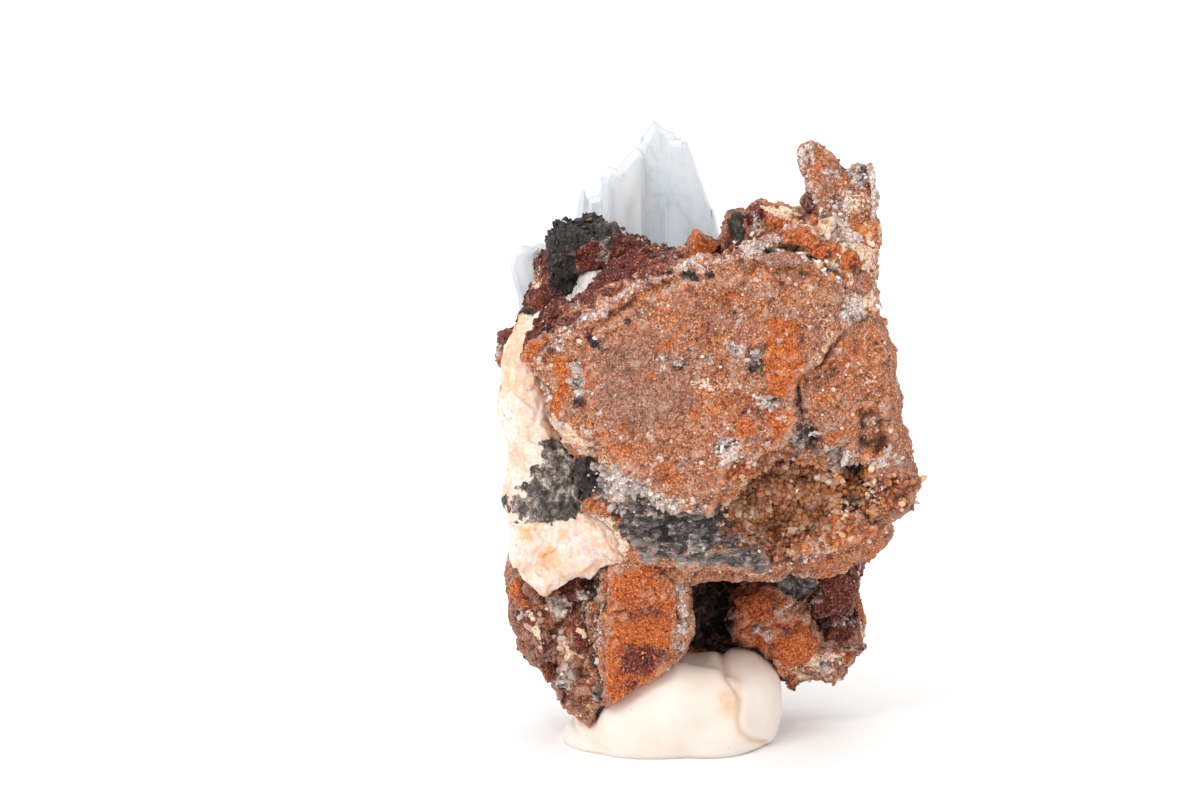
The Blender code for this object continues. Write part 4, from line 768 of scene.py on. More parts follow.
@dataclass
class MatrixRock:
    """The rock itself: sandy slab, lower lip, legs, spur and crust in one piece."""

    voxel: float = 0.25
    swell: float = 0.17
    foremost: float = -11.25
    masks: np.ndarray = field(default_factory=lambda: np.zeros((0, 7)))

    def build(self) -> bpy.types.Object:
        """Makes the fine rock, paints its minerals, and marks its hollows for painted shade and dirt and its ridges for
        paling.

        Returns:
            The rock, still without a material.
        """
        rock = fine_skin(merged_copy("matrix_rock"), "rock", self.swell, self.voxel, 2)
        points = points_of(rock.data)
        self.masks = self.minerals(points)
        move_points(rock.data, self.broken(points, normals_of(rock.data)))
        # Painted shade and dirt: the deeper a point lies in a hollow, the darker the finish paints it; ridges that are
        # not dark are painted paler.
        deep, near = hollowness(rock.data, 24), hollowness(rock.data, 4)
        hollow = 0.85 * smooth(deep, 0.1, 0.48) + 0.45 * smooth(near, 0.03, 0.12)
        dark = np.maximum(self.masks[:, Mineral.BLACK.value], self.masks[:, Mineral.MAROON.value])
        ridge = 0.26 * smooth(-near, 0.05, 0.14) * (1 - dark)
        write_colours(rock.data, "stains", self.masks[:, :3])
        write_colours(rock.data, "crusts", self.masks[:, 3:6])
        write_colours(rock.data, "steely_dirt_shade_ridges", np.column_stack([self.masks[:, 6], hollow.clip(0, 0.9), ridge]))
        return rock

    def minerals(self, points: np.ndarray) -> np.ndarray:
        """Works out what each point is made of.

        Args:
            points: places in millimetres.

        Returns:
            Seven shares a point, in the order of Mineral.
        """
        bent = points.copy()
        for axis in (0, 2):
            bent[:, axis] += 0.45 * fractal(points, 1.1, 3, 3.0 + axis)
        shares = np.zeros((len(points), len(Mineral)))
        for patch in PATCHES:
            channel = patch.mineral.value
            shares[:, channel] = np.maximum(shares[:, channel], patch.share(points, bent))
        shares[:, Mineral.MAROON.value] *= 1 - shares[:, Mineral.BLACK.value]
        hidden = smooth(points[:, 1], -3.5, 1.5)
        broad = fractal(points, 6.5, 4, 11)
        veins = 1 - np.abs(fractal(points, 5.0, 3, 17)) * 5
        near_fan = np.exp(-(((points[:, 0] + 3.5) / 9.0) ** 2 + ((points[:, 2] - 33) / 7.0) ** 2))
        crust = smooth(near_fan * 1.4 + broad * 0.8, 0.45, 0.9)
        spots = {
            Mineral.MAROON: crust,
            Mineral.BLACK: crust * smooth(fractal(points, 2.6, 3, 23), -0.05, 0.3) * smooth(points[:, 1], 2.0, 5.0),
            Mineral.OCHRE: smooth(fractal(points, 4.2, 3, 29), 0.12, 0.4),
            Mineral.QUARTZ: smooth(veins, 0.5, 0.9) * 0.8,
            Mineral.BROWN: smooth(broad, -0.1, 0.4) * 0.8,
        }
        for mineral, share in spots.items():
            channel = mineral.value
            shares[:, channel] = np.maximum(shares[:, channel], share * hidden)
        small = smooth(fractal(points, 1.5, 3, 31), 0.2, 0.5) * (1 - hidden)
        shares[:, Mineral.OCHRE.value] = np.maximum(shares[:, Mineral.OCHRE.value], small * 0.46)
        pale = smooth(fractal(points, 1.1, 3, 37), 0.25, 0.55) * (1 - hidden) * smooth(points[:, 2], 13.0, 16.0)
        shares[:, Mineral.QUARTZ.value] = np.maximum(shares[:, Mineral.QUARTZ.value], pale * 0.46)
        return shares

    def broken(self, points: np.ndarray, normals: np.ndarray) -> np.ndarray:
        """Breaks the surface: angular chips, ledges and cracks, then grain by grain.

        Args:
            points: places in millimetres.
            normals: outward directions.

        Returns:
            The moved points.
        """
        bent = points.copy()
        for axis in (0, 2):
            bent[:, axis] += 0.25 * fractal(points, 0.9, 2, 5.0 + axis)
        rise = np.zeros(len(points))
        for relief in RELIEFS:
            rise += relief.rise(points, bent)
        ochre, maroon, black, quartz, cream, brown, steely = self.masks.T
        rugged = np.clip(0.85 + 0.6 * (black + quartz + maroon + steely) - 0.5 * brown - 0.35 * ochre, 0.3, 1.9)
        rise += rugged * (0.3 * fractal(points, 2.3, 3, 41) + 0.16 * fractal(points, 0.8, 3, 43))
        knobs = np.abs(fractal(points, 0.65, 2, 47)) - 0.12
        rise += rugged * 0.2 * knobs
        chips = 0.07 + 0.14 * smooth(np.maximum.reduce([black, quartz, maroon]), 0.2, 0.7) - 0.04 * steely
        behind = smooth(points[:, 1], -3.5, 0.0)
        chips += 0.1 * np.maximum(behind, smooth(-points[:, 2], -16.0, -13.0))
        rise -= behind * (0.35 + 0.7 * fractal(points, 6.0, 3, 137))
        moved = snapped(points, BREAKS, 1.9, chips, 53) + normals * rise[:, None]
        moved[:, 1] = np.maximum(moved[:, 1], self.foremost)
        return moved

    def dress(self, rock: bpy.types.Object, material: bpy.types.Material) -> None:
        """Finishes the rock and lets it stand for its CAD node."""
        dress(rock, material, "iron_stained_rock", "matrix_rock")


# Flakes


@dataclass(frozen=True)
class Flake:
    """A plate or lump that stands sharply out of the rock, outlined as seen from the front.

    It has colours of its own, unless plain, which shows the rock's stains at that place.
    """

    main: Mineral
    outline: Outline
    second: Mineral = Mineral.BROWN
    proud: float = 0.5
    thick: float = 1.8
    turn: float = 0.0
    tip: float = 0.0
    chamfer: float = 0.22
    plain: bool = False

    def front(self, rock: bpy.types.Object) -> float:
        """Finds the depth of its face, which stands proud of the rock behind its middle.

        Args:
            rock: the finished rock.

        Returns:
            The depth in millimetres.
        """
        x, z = np.mean(self.outline, axis=0)
        hit, place, _, _ = rock.ray_cast(Vector((x * MM, -1.0, z * MM)), Vector((0.0, 1.0, 0.0)))
        return (place.y / MM if hit else -7.0) - self.proud

    def plate(self, front: float) -> bmesh.types.BMesh:
        """Cuts the plate to its outline, chamfers its front and sets it at its angle.

        Args:
            front: the depth of its face in millimetres.

        Returns:
            The closed plate.
        """
        bm = bmesh.new()
        face = bm.faces.new([bm.verts.new((x * MM, front * MM, z * MM)) for x, z in self.outline])
        grown = bmesh.ops.extrude_face_region(bm, geom=[face])["geom"]
        bmesh.ops.translate(bm, verts=[v for v in grown if isinstance(v, bmesh.types.BMVert)],
                            vec=(0, self.thick * MM, 0))
        bmesh.ops.recalc_face_normals(bm, faces=bm.faces[:])
        rim = [e for e in bm.edges if all(abs(v.co.y - front * MM) < 1e-7 for v in e.verts)]
        bmesh.ops.bevel(bm, geom=rim, offset=self.chamfer * MM, offset_type="OFFSET", segments=1,
                        profile=0.5, affect="EDGES", material=-1, clamp_overlap=True)
        middle = sum((v.co for v in bm.verts), Vector()) / len(bm.verts)
        turned = Matrix.Rotation(self.turn, 3, "Z") @ Matrix.Rotation(self.tip, 3, "X")
        bmesh.ops.rotate(bm, verts=bm.verts[:], cent=middle, matrix=turned)
        return bm


FLAKES: tuple[Flake, ...] = (
    # Brick-red flake and the pinnacle on the top edge
    Flake(Mineral.OCHRE, [(-1.9, 38.0), (-1.75, 38.8), (-1.45, 39.8), (-1.2, 40.4), (-0.8, 40.95), (-0.3, 40.5), (0.1, 40.2), (0.8, 39.75),
                           (0.3, 39.2), (-0.3, 38.8), (-0.8, 38.0)], Mineral.MAROON, 0.7, 1.5, turn=0.3, tip=-0.1, chamfer=0.12),
    Flake(Mineral.BLACK, [(1.2, 39.4), (1.25, 41.0), (1.4, 41.8), (1.65, 42.3), (2.2, 42.4), (2.7, 42.1), (2.6, 41.4), (2.9, 40.6), (2.7, 39.4)],
          Mineral.STEELY, 0.2, 2.0, turn=-0.3, chamfer=0.3),
    Flake(Mineral.OCHRE, [(1.65, 39.2), (1.8, 40.7), (1.7, 41.8), (2.2, 41.9), (2.45, 41.1), (2.7, 39.4)], Mineral.BROWN, 0.7, 1.6, turn=0.4),
    # Steps at the upper right
    Flake(Mineral.MAROON, [(2.5, 40.8), (2.6, 41.9), (3.05, 42.7), (3.55, 43.0), (4.15, 42.8), (4.25, 41.7), (4.1, 40.6), (3.0, 40.3)],
          Mineral.QUARTZ, 0.5, 2.2, turn=-0.3, chamfer=0.5),
    Flake(Mineral.CREAM, [(3.7, 42.7), (5.6, 42.7), (6.9, 42.0), (8.2, 41.8), (8.0, 41.2), (6.4, 41.7), (4.5, 42.3)], Mineral.QUARTZ, 0.35, 2.4,
          tip=-0.2, chamfer=0.15),
    Flake(Mineral.OCHRE, [(4.15, 42.6), (6.1, 41.9), (6.4, 41.6), (5.25, 41.0), (4.2, 41.4)], Mineral.OCHRE, 0.8, 2.4, turn=0.2, tip=0.4, chamfer=0.12),
    Flake(Mineral.OCHRE, [(5.2, 40.6), (6.4, 41.4), (7.3, 41.4), (8.3, 40.7), (7.8, 40.3), (6.4, 40.3)], Mineral.OCHRE, 0.85, 2.4, turn=-0.25, tip=0.35,
          chamfer=0.12),
    Flake(Mineral.BROWN, [(2.9, 40.2), (3.9, 40.8), (5.0, 40.9), (6.2, 40.4), (6.1, 39.8), (4.5, 39.9), (3.5, 39.5)], Mineral.QUARTZ, 0.6, 2.2,
          turn=0.15, chamfer=0.3),
    Flake(Mineral.BROWN, [(3.2, 39.5), (4.6, 39.8), (6.3, 39.7), (7.0, 39.2), (6.2, 38.8), (4.2, 38.9)], Mineral.QUARTZ, 0.45, 2.0, turn=0.1, chamfer=0.25),
    Flake(Mineral.CREAM, [(8.05, 41.8), (8.9, 42.1), (9.4, 41.5), (8.9, 40.7), (8.2, 40.9)], Mineral.OCHRE, 0.6, 2.0, turn=0.3, chamfer=0.3),
    Flake(Mineral.OCHRE, [(6.9, 40.1), (8.2, 40.5), (9.7, 40.3), (9.9, 39.6), (8.7, 38.8), (7.8, 39.1), (7.1, 39.6)], Mineral.MAROON, 0.5, 1.8, turn=0.15,
          tip=0.2, chamfer=0.25),
    Flake(Mineral.QUARTZ, [(9.8, 41.5), (11.2, 41.2), (11.5, 40.4), (10.6, 40.1), (9.7, 40.8)], Mineral.BROWN, 0.4, 1.8, turn=-0.25, chamfer=0.3),
    Flake(Mineral.OCHRE, [(11.5, 41.9), (12.5, 41.8), (12.5, 40.6), (12.3, 39.8), (11.3, 40.2), (11.2, 41.1)], Mineral.CREAM, 0.65, 2.0, turn=-0.2,
          chamfer=0.25),
    Flake(Mineral.OCHRE, [(9.6, 39.5), (10.6, 39.8), (11.6, 38.9), (10.8, 38.0), (9.6, 38.4)], Mineral.MAROON, 0.4, 1.6, turn=0.25, chamfer=0.25),
    Flake(Mineral.BROWN, [(10.3, 38.0), (11.6, 38.3), (12.3, 37.0), (11.6, 36.2), (10.5, 36.6)], Mineral.OCHRE, 0.4, 1.6, turn=-0.2, chamfer=0.35),
    Flake(Mineral.QUARTZ, [(10.0, 36.2), (11.0, 36.5), (11.9, 35.6), (11.6, 34.6), (10.2, 34.8)], Mineral.BROWN, 0.3, 1.4, turn=0.3, chamfer=0.35),
    # Spur: pale left edge, red-brown knob at its foot, peach right edge
    Flake(Mineral.QUARTZ, [(6.5, 47.0), (6.9, 47.5), (7.6, 47.6), (7.8, 47.3), (7.2, 47.0), (7.25, 45.6), (6.9, 45.4), (6.6, 46.2)], Mineral.CREAM, 0.3, 1.8,
          turn=-0.2, chamfer=0.15),
    Flake(Mineral.MAROON, [(6.7, 43.2), (7.2, 43.8), (8.2, 43.3), (8.2, 42.5), (6.9, 42.5)], Mineral.BROWN, 0.5, 1.8, chamfer=0.35),
    Flake(Mineral.QUARTZ, [(11.6, 45.9), (12.1, 46.0), (12.4, 43.8), (12.3, 41.9), (11.95, 41.9), (11.95, 44.1)], Mineral.OCHRE, 0.4, 1.8, chamfer=0.12),
    # Red-brown scales along the slab's upper left edge
    Flake(Mineral.MAROON, [(-8.4, 35.9), (-8.5, 36.7), (-7.6, 37.3), (-6.5, 37.7), (-6.2, 37.3), (-7.2, 36.4)], Mineral.OCHRE, 0.45, turn=-0.4),
    Flake(Mineral.MAROON, [(-6.0, 37.8), (-5.2, 38.4), (-3.6, 38.8), (-2.7, 38.5), (-3.5, 38.1), (-5.0, 37.7)], Mineral.QUARTZ, 0.4, turn=-0.3),
    Flake(Mineral.MAROON, [(-11.6, 33.9), (-11.0, 34.8), (-9.8, 35.4), (-9.2, 35.1), (-10.2, 34.2)], Mineral.OCHRE, 0.45, turn=-0.5),
    Flake(Mineral.OCHRE, [(-13.9, 31.6), (-13.4, 32.9), (-12.2, 33.6), (-11.7, 33.1), (-12.5, 32.1), (-13.2, 31.2)], Mineral.MAROON, 0.45, turn=-0.5),
    # Left leg: flat stained face, then tilted plates beside it
    Flake(Mineral.OCHRE, [(-7.5, 14.6), (-5.1, 15.3), (-2.9, 14.4), (-2.3, 13.0), (-2.4, 9.4), (-2.7, 7.4), (-4.6, 6.2), (-7.0, 4.5), (-7.7, 5.2),
                          (-7.6, 10.8)], proud=0.3, chamfer=0.15, plain=True),
    Flake(Mineral.MAROON, [(-14.3, 11.1), (-13.4, 12.0), (-12.0, 9.0), (-12.2, 7.9)], Mineral.CREAM, 0.5, turn=-0.5),
    Flake(Mineral.OCHRE, [(-15.1, 13.0), (-14.5, 13.8), (-13.3, 12.1), (-13.9, 10.9)], Mineral.MAROON, 0.45, turn=-0.6),
    Flake(Mineral.MAROON, [(-12.8, 13.0), (-11.8, 13.6), (-10.8, 12.6), (-12.0, 12.0)], Mineral.OCHRE, 0.5, turn=-0.4),
    Flake(Mineral.MAROON, [(-10.2, 10.4), (-9.2, 10.9), (-8.8, 8.4), (-9.4, 6.8), (-10.0, 8.0)], Mineral.CREAM, 0.5, turn=-0.3),
    Flake(Mineral.MAROON, [(-13.0, 7.6), (-12.2, 8.0), (-11.4, 5.8), (-11.9, 5.4)], Mineral.OCHRE, 0.45, turn=-0.5),
    # Right leg: ochre lobe and red-brown wall
    Flake(Mineral.OCHRE, [(2.3, 9.6), (2.6, 11.0), (4.2, 11.7), (5.6, 10.9), (5.2, 9.4), (3.6, 8.8)], Mineral.MAROON, 0.5, turn=-0.4, tip=0.2, chamfer=0.5),
    Flake(Mineral.OCHRE, [(5.2, 8.2), (7.2, 9.0), (8.9, 7.6), (8.2, 5.8), (6.2, 5.6), (5.0, 6.8)], Mineral.BROWN, 0.6, turn=0.3, chamfer=0.6),
    Flake(Mineral.MAROON, [(8.6, 12.6), (10.6, 13.0), (11.8, 11.4), (11.2, 9.2), (9.2, 9.4)], Mineral.OCHRE, 0.5, turn=0.35, chamfer=0.4),
)


@dataclass
class RockFlakes:
    """The sharp plates and lumps of the rock, which its own mesh is too soft to show."""

    rock: MatrixRock
    voxel: float = 0.12

    def build(self, base: bpy.types.Object) -> bpy.types.Object:
        """Cuts every flake, sets it on the rock, grows them together and roughens them.

        Args:
            base: the finished rock.

        Returns:
            All the flakes as one object.
        """
        bpy.context.view_layer.update()
        fronts = [flake.front(base) for flake in FLAKES]
        whole = bmesh.new()
        for flake, front in zip(FLAKES, fronts):
            plate = flake.plate(front)
            held = bpy.data.meshes.new("plate")
            plate.to_mesh(held)
            plate.free()
            whole.from_mesh(held)
            bpy.data.meshes.remove(held)
        flakes = fine_skin(whole, "rock_flakes", 0.0, self.voxel, 1)
        points, normals = points_of(flakes.data), normals_of(flakes.data)
        stained = self.rock.minerals(points)
        masks = stained * 0.25
        mix = fractal(points, 1.0, 4, 113)
        for flake, front in zip(FLAKES, fronts):
            depth = (front - 1.2, front + flake.thick + 1.2)
            here = Patch(flake.main, flake.outline, depth, edge=0.4).share(points, points)
            if flake.plain:
                masks = np.maximum(masks, stained * here[:, None])
                continue
            for mineral, share in ((flake.main, 0.85 - 0.3 * mix), (flake.second, 0.22 + 0.8 * mix)):
                masks[:, mineral.value] = np.maximum(masks[:, mineral.value], here * share)
        moved = snapped(points, BREAKS, 0.9, np.full(len(points), 0.1), 59)
        rise = 0.07 * fractal(points, 1.1, 3, 127) + 0.06 * fractal(points, 0.45, 2, 131)
        move_points(flakes.data, moved + normals * rise[:, None])
        # Painted shade and dirt in the flakes' hollows, and paler ridges, as on the rock.
        ridge = 0.34 * smooth(-hollowness(flakes.data, 4), 0.03, 0.1)
        hollow = 0.4 * smooth(hollowness(flakes.data, 6), 0.02, 0.1)
        write_colours(flakes.data, "stains", masks[:, :3])
        write_colours(flakes.data, "crusts", masks[:, 3:6])
        write_colours(flakes.data, "steely_dirt_shade_ridges", np.column_stack([masks[:, 6], hollow, ridge * (1 - masks[:, 2])]))
        return flakes

    def dress(self, flakes: bpy.types.Object, material: bpy.types.Material) -> None:
        """Finishes the flakes like the rock that they belong to."""
        dress(flakes, material, "iron_stained_rock")


# Grains


@dataclass(frozen=True)
class GrainFinish:
    """Loose mineral grains: each one clean-faced and slightly glassy, in its own tint."""

    name: str = "mineral_grains"
    roughness: float = 0.34

    def material(self) -> bpy.types.Material:
        """Builds the material.

        Returns:
            A material that reads each grain's tint.
        """
        made = bpy.data.materials.new(self.name)
        made.use_nodes = True
        tree = made.node_tree
        tree.nodes.clear()
        place = add_node(tree, "ShaderNodeTexCoord").outputs["Object"]
        tint = add_node(tree, "ShaderNodeAttribute", attribute_name="tint")
        flaw = add_node(tree, "ShaderNodeTexNoise", {
            "Vector": place, "Scale": per_metre(0.12), "Detail": 2.0, "Roughness": 0.6})
        shade = add_node(tree, "ShaderNodeMapRange", {
            "Value": flaw.outputs["Fac"], "From Min": 0.3, "From Max": 0.7, "To Min": 0.82, "To Max": 1.12})
        colour = add_node(tree, "ShaderNodeVectorMath", {
            0: tint.outputs["Color"], "Scale": shade.outputs["Result"]}, operation="SCALE")
        shader = add_node(tree, "ShaderNodeBsdfPrincipled", {
            "Base Color": colour.outputs["Vector"], "Roughness": self.roughness})
        add_node(tree, "ShaderNodeOutputMaterial", {"Surface": shader.outputs["BSDF"]})
        return made


class GrainShape(Enum):
    """The shapes that a grain comes in."""

    ANGULAR = "angular"
    QUARTZ = "quartz"


def grain_template(shape: GrainShape) -> tuple[np.ndarray, np.ndarray]:
    """Models one grain of unit size, its root at the origin and its tip along +Z.

    Args:
        shape: which shape.

    Returns:
        Its points, and its triangles as rows of three point numbers.
    """
    bm = bmesh.new()
    if shape is GrainShape.QUARTZ:
        bmesh.ops.create_cone(bm, cap_ends=True, segments=6, radius1=1.0, radius2=0.9, depth=2.0)
        bm.faces.ensure_lookup_table()
        top = max(bm.faces, key=lambda f: f.calc_center_median().z)
        tip = bmesh.ops.poke(bm, faces=[top])["verts"]
        bmesh.ops.translate(bm, verts=tip, vec=(0.08, 0.05, 0.95))
    else:
        bmesh.ops.create_icosphere(bm, subdivisions=1, radius=1.0)
        for n, v in enumerate(bm.verts):
            v.co *= 1.0 + 0.24 * math.sin(12.9 * n + 4.1)
    bmesh.ops.triangulate(bm, faces=bm.faces[:])
    bm.verts.index_update()
    points = np.array([v.co for v in bm.verts])
    triangles = np.array([[v.index for v in f.verts] for f in bm.faces])
    bm.free()
    return points, triangles


@dataclass
class GrainBed:
    """Grains and small crystals that stand on a surface, joined in one mesh."""

    name: str
    shape: GrainShape
    count: int
    radius: tuple[float, float]
    stretch: float = 1.0
    sink: float = 0.35
    tilt: float = 0.5
    seed: int = 1

    def build(self, base: bpy.types.Object, density: np.ndarray, tints: np.ndarray) -> bpy.types.Object:
        """Scatters the grains.

        Args:
            base: what they stand on.
            density: how thickly they stand at each of its points.
            tints: linear colour of the grain at each of its points.

        Returns:
            All the grains as one object.
        """
        rng = np.random.default_rng(self.seed)
        base.data.calc_loop_triangles()
        corners = np.empty(len(base.data.loop_triangles) * 3, dtype=int)
        base.data.loop_triangles.foreach_get("vertices", corners)
        corners = corners.reshape(-1, 3)
        points, normals = points_of(base.data), normals_of(base.data)
        a, b, c = (points[corners[:, n]] for n in range(3))
        area = np.linalg.norm(np.cross(b - a, c - a), axis=1) * density[corners].mean(axis=1)
        chosen = rng.choice(len(corners), size=self.count, p=area / area.sum())
        u, v = rng.random(self.count), rng.random(self.count)
        u, v = np.where(u + v > 1, 1 - u, u), np.where(u + v > 1, 1 - v, v)
        feet = a[chosen] + u[:, None] * (b - a)[chosen] + v[:, None] * (c - a)[chosen]
        up = normals[corners[chosen, 0]] + self.tilt * rng.normal(size=(self.count, 3)) * 0.6
        up /= np.linalg.norm(up, axis=1)[:, None]
        side = np.cross(up, rng.normal(size=(self.count, 3)))
        side /= np.linalg.norm(side, axis=1)[:, None]
        across = np.cross(up, side)
        low, high = self.radius
        size = low + (high - low) * rng.random(self.count) ** 2.2
        squash = 0.75 + 0.5 * rng.random((self.count, 3))
        shape, triangles = grain_template(self.shape)
        local = shape[None] * (size[:, None] * squash)[:, None, :] * np.array([1, 1, self.stretch])
        lift = size * self.stretch * (1 - 2 * self.sink)
        placed = (feet + up * lift[:, None])[:, None, :] + local[:, :, 0:1] * side[:, None] \
            + local[:, :, 1:2] * across[:, None] + local[:, :, 2:3] * up[:, None]
        starts = np.arange(self.count)[:, None, None] * len(shape)
        mesh = bpy.data.meshes.new(self.name)
        mesh.from_pydata((placed.reshape(-1, 3) * MM).tolist(), [], (triangles[None] + starts).reshape(-1, 3).tolist())
        bm = bmesh.new()
        bm.from_mesh(mesh)
        bmesh.ops.recalc_face_normals(bm, faces=bm.faces[:])
        bm.to_mesh(mesh)
        bm.free()
        tint = tints[corners[chosen, 0]] * (0.85 + 0.3 * rng.random((self.count, 1)))
        write_colours(mesh, "tint", np.repeat(tint, len(shape), axis=0))
        return new_object(self.name, mesh)


def grain_tints(masks: np.ndarray, rng: np.random.Generator) -> np.ndarray:
    """Picks a grain colour for each point from what the rock is made of there.

    Args:
        masks: shares of each mineral.
        rng: the seeded source of chance.

    Returns:
        Linear colours, one a point.
    """
    palettes = [SAND_GRAINS, *(GRAIN_COLOURS[m] for m in Mineral)]
    shares = np.column_stack([np.full(len(masks), 0.42), masks + 0.25 * rng.normal(size=masks.shape) * (masks > 0.05)])
    kind = shares.argmax(axis=1)
    tints = np.zeros((len(masks), 3))
    for n, palette in enumerate(palettes):
        own = np.array([linear(code)[:3] for code in palette])
        here = kind == n
        tints[here] = own[rng.integers(0, len(own), here.sum())]
    return tints


DRUSE_TINTS = ("#8A5232", "#B87440", "#A9623A", "#C08A66", "#B57E60", "#D2A683", "#C67B3A", "#E8CDB0")
HONEY_HOLLOW: Outline = ((0.8, 20.6), (2.2, 23.6), (4.4, 24.4), (7.4, 23.6), (10.4, 23.2), (13.4, 23.6), (15.2, 22.4),
                         (14.8, 20.2), (12.4, 19.0), (9.4, 17.2), (5.0, 16.4), (1.6, 18.6))


def druse_tints(points: np.ndarray, rng: np.random.Generator) -> np.ndarray:
    """Colours small quartz crystals: neighbours alike, with strays.

    Args:
        points: places in millimetres.
        rng: the seeded source of chance.

    Returns:
        Linear colours, one a point.
    """
    own = np.array([linear(code)[:3] for code in DRUSE_TINTS])
    zone = (fractal(points, 2.2, 2, 91) + 0.35) * 9
    return own[np.clip(zone + rng.normal(size=len(points)) * 1.6, 0, len(own) - 1).astype(int)]


@dataclass
class RockGrains:
    """Sand, crust grains and small quartz that give the rock its crumbly surface."""

    rock: MatrixRock

    def build(self, base: bpy.types.Object) -> list[bpy.types.Object]:
        """Scatters each kind of grain where its mineral shows.

        Args:
            base: the finished rock.

        Returns:
            The grain beds.
        """
        masks = self.rock.masks
        ochre, maroon, black, quartz, cream, brown, steely = masks.T
        points = points_of(base.data)
        rng = np.random.default_rng(5)
        tints = grain_tints(masks, rng)
        high = smooth(points[:, 2], 2.5, 4.0)
        front = 0.35 + 0.65 * smooth(-points[:, 1], -2.0, 3.0)
        steps = smooth(points[:, 0], 1.0, 4.0) * smooth(points[:, 2], 36.5, 39.0)
        rim = smooth(points[:, 0], 10.0, 12.0) * smooth(-np.abs(points[:, 2] - 21.5), -3.6, -2.0)
        hollow = outline_distance(points[:, (0, 2)], HONEY_HOLLOW, closed=True)
        hollow = smooth(hollow + 0.8 * fractal(points, 1.6, 3, 107), -0.5, 1.0) * smooth(-points[:, 1], 0.0, 2.0)
        beds = (
            (GrainBed("sand_grains", GrainShape.ANGULAR, 4000, (0.04, 0.11), 1.0, 0.5, 0.9, 11),
             high * front * np.clip(0.6 - 0.8 * brown, 0.02, 1), tints),
            (GrainBed("crust_grains", GrainShape.ANGULAR, 5000, (0.06, 0.17), 1.0, 0.4, 1.0, 13),
             high * (np.clip(black + 0.7 * maroon, 0, 1) ** 1.5 + 0.01), tints),
            (GrainBed("quartz_grains", GrainShape.QUARTZ, 4000, (0.05, 0.19), 0.9, 0.4, 0.9, 17),
             high * (quartz ** 1.5 * (1 - 0.8 * brown) + 0.06 * steps + 0.06 * rim + 0.01), tints),
            (GrainBed("honey_quartz_grains", GrainShape.QUARTZ, 2200, (0.07, 0.27), 0.8, 0.4, 0.7, 29),
             hollow, druse_tints(points, rng)),
        )
        return [bed.build(base, density, tint) for bed, density, tint in beds]

    def dress(self, beds: list[bpy.types.Object]) -> None:
        """Finishes every bed of grains."""
        material = GrainFinish().material()
        for bed in beds:
            dress(bed, material, "iron_stained_rock")


# Single crystals on the rock


@dataclass(frozen=True)
class CrystalNest:
    """A few larger crystals that stand together, placed as seen from the front."""

    middle: tuple[float, float]
    spread: float
    count: int
    radius: tuple[float, float]
    tints: tuple[str, ...]
    stretch: float = 1.1
    depth: tuple[float, float] = (-13.0, -3.0)


MILKY = ("#D6CBC4", "#BDB0A8", "#E8DFD9")
SMOKY = ("#BFB2AB", "#93857E", "#D6CBC4", "#A8958B")
AMBER = ("#F2DCB4", "#E8C08A", "#F6E8D2", "#DBAA7C")
ROSY = ("#F0DCD0", "#DFBBA6", "#F7ECE6", "#E3A985")
RUSTY = ("#EBA262", "#E48E48", "#F2C498")
NESTS: tuple[CrystalNest, ...] = (
    CrystalNest((3.9, 22.7), 0.8, 26, (0.2, 0.42), AMBER, 0.5),
    CrystalNest((1.2, 20.9), 0.3, 4, (0.3, 0.46), ("#F0D3B8", "#E6BE9C"), 0.6),
    CrystalNest((6.6, 25.0), 0.8, 14, (0.14, 0.34), SMOKY),
    CrystalNest((9.4, 24.2), 0.7, 8, (0.14, 0.3), SMOKY),
    CrystalNest((-11.1, 11.5), 0.5, 7, (0.2, 0.36), ("#C9B5AA", "#B9A498", "#DDCCC2"), 0.5, LEG),
    CrystalNest((-10.8, 6.4), 0.45, 4, (0.26, 0.44), ("#BBA598", "#CDB9AD"), 0.9, LEG),
    CrystalNest((-10.9, 8.8), 0.4, 6, (0.2, 0.36), ("#E8CBB8", "#DDB8A2"), 0.4, LEG),
    CrystalNest((-9.4, 12.4), 0.5, 6, (0.14, 0.26), MILKY, 0.5, LEG),
    CrystalNest((-13.2, 10.2), 0.8, 7, (0.16, 0.36), ("#E8C9BC", "#D9A592", "#F2E4DC"), depth=LEG),
    CrystalNest((10.9, 45.2), 0.5, 18, (0.14, 0.28), SMOKY, 0.4),
    CrystalNest((8.8, 41.5), 0.45, 6, (0.22, 0.42), ("#F8E4D2", "#F3D0B4")),
    CrystalNest((11.9, 40.9), 0.45, 6, (0.25, 0.45), RUSTY),
    CrystalNest((9.6, 43.0), 0.8, 12, (0.12, 0.26), MILKY),
    CrystalNest((13.4, 24.2), 0.6, 10, (0.12, 0.26), MILKY),
    CrystalNest((14.4, 21.6), 0.8, 10, (0.16, 0.34), RUSTY),
    CrystalNest((-2.4, 31.5), 0.3, 7, (0.1, 0.2), SMOKY),
    CrystalNest((0.0, 31.9), 0.3, 6, (0.1, 0.2), MILKY),
    CrystalNest((1.9, 32.6), 0.35, 7, (0.1, 0.22), MILKY),
    CrystalNest((3.3, 31.6), 0.5, 9, (0.12, 0.26), SMOKY),
    CrystalNest((-9.8, 30.2), 0.5, 9, (0.12, 0.26), SMOKY),
    CrystalNest((4.6, 28.3), 0.5, 8, (0.12, 0.24), MILKY),
    CrystalNest((-7.4, 21.4), 1.4, 30, (0.14, 0.34), MILKY),
    CrystalNest((-9.8, 24.9), 0.9, 16, (0.14, 0.3), ROSY, 0.5),
    CrystalNest((-11.2, 26.3), 0.8, 14, (0.14, 0.3), ROSY, 0.5),
    CrystalNest((-12.2, 28.4), 0.9, 14, (0.14, 0.28), ROSY, 0.5),
    CrystalNest((-12.6, 31.0), 0.9, 14, (0.14, 0.28), ROSY, 0.5),
    CrystalNest((-5.8, 22.8), 1.0, 14, (0.12, 0.26), ROSY, 0.5),
)


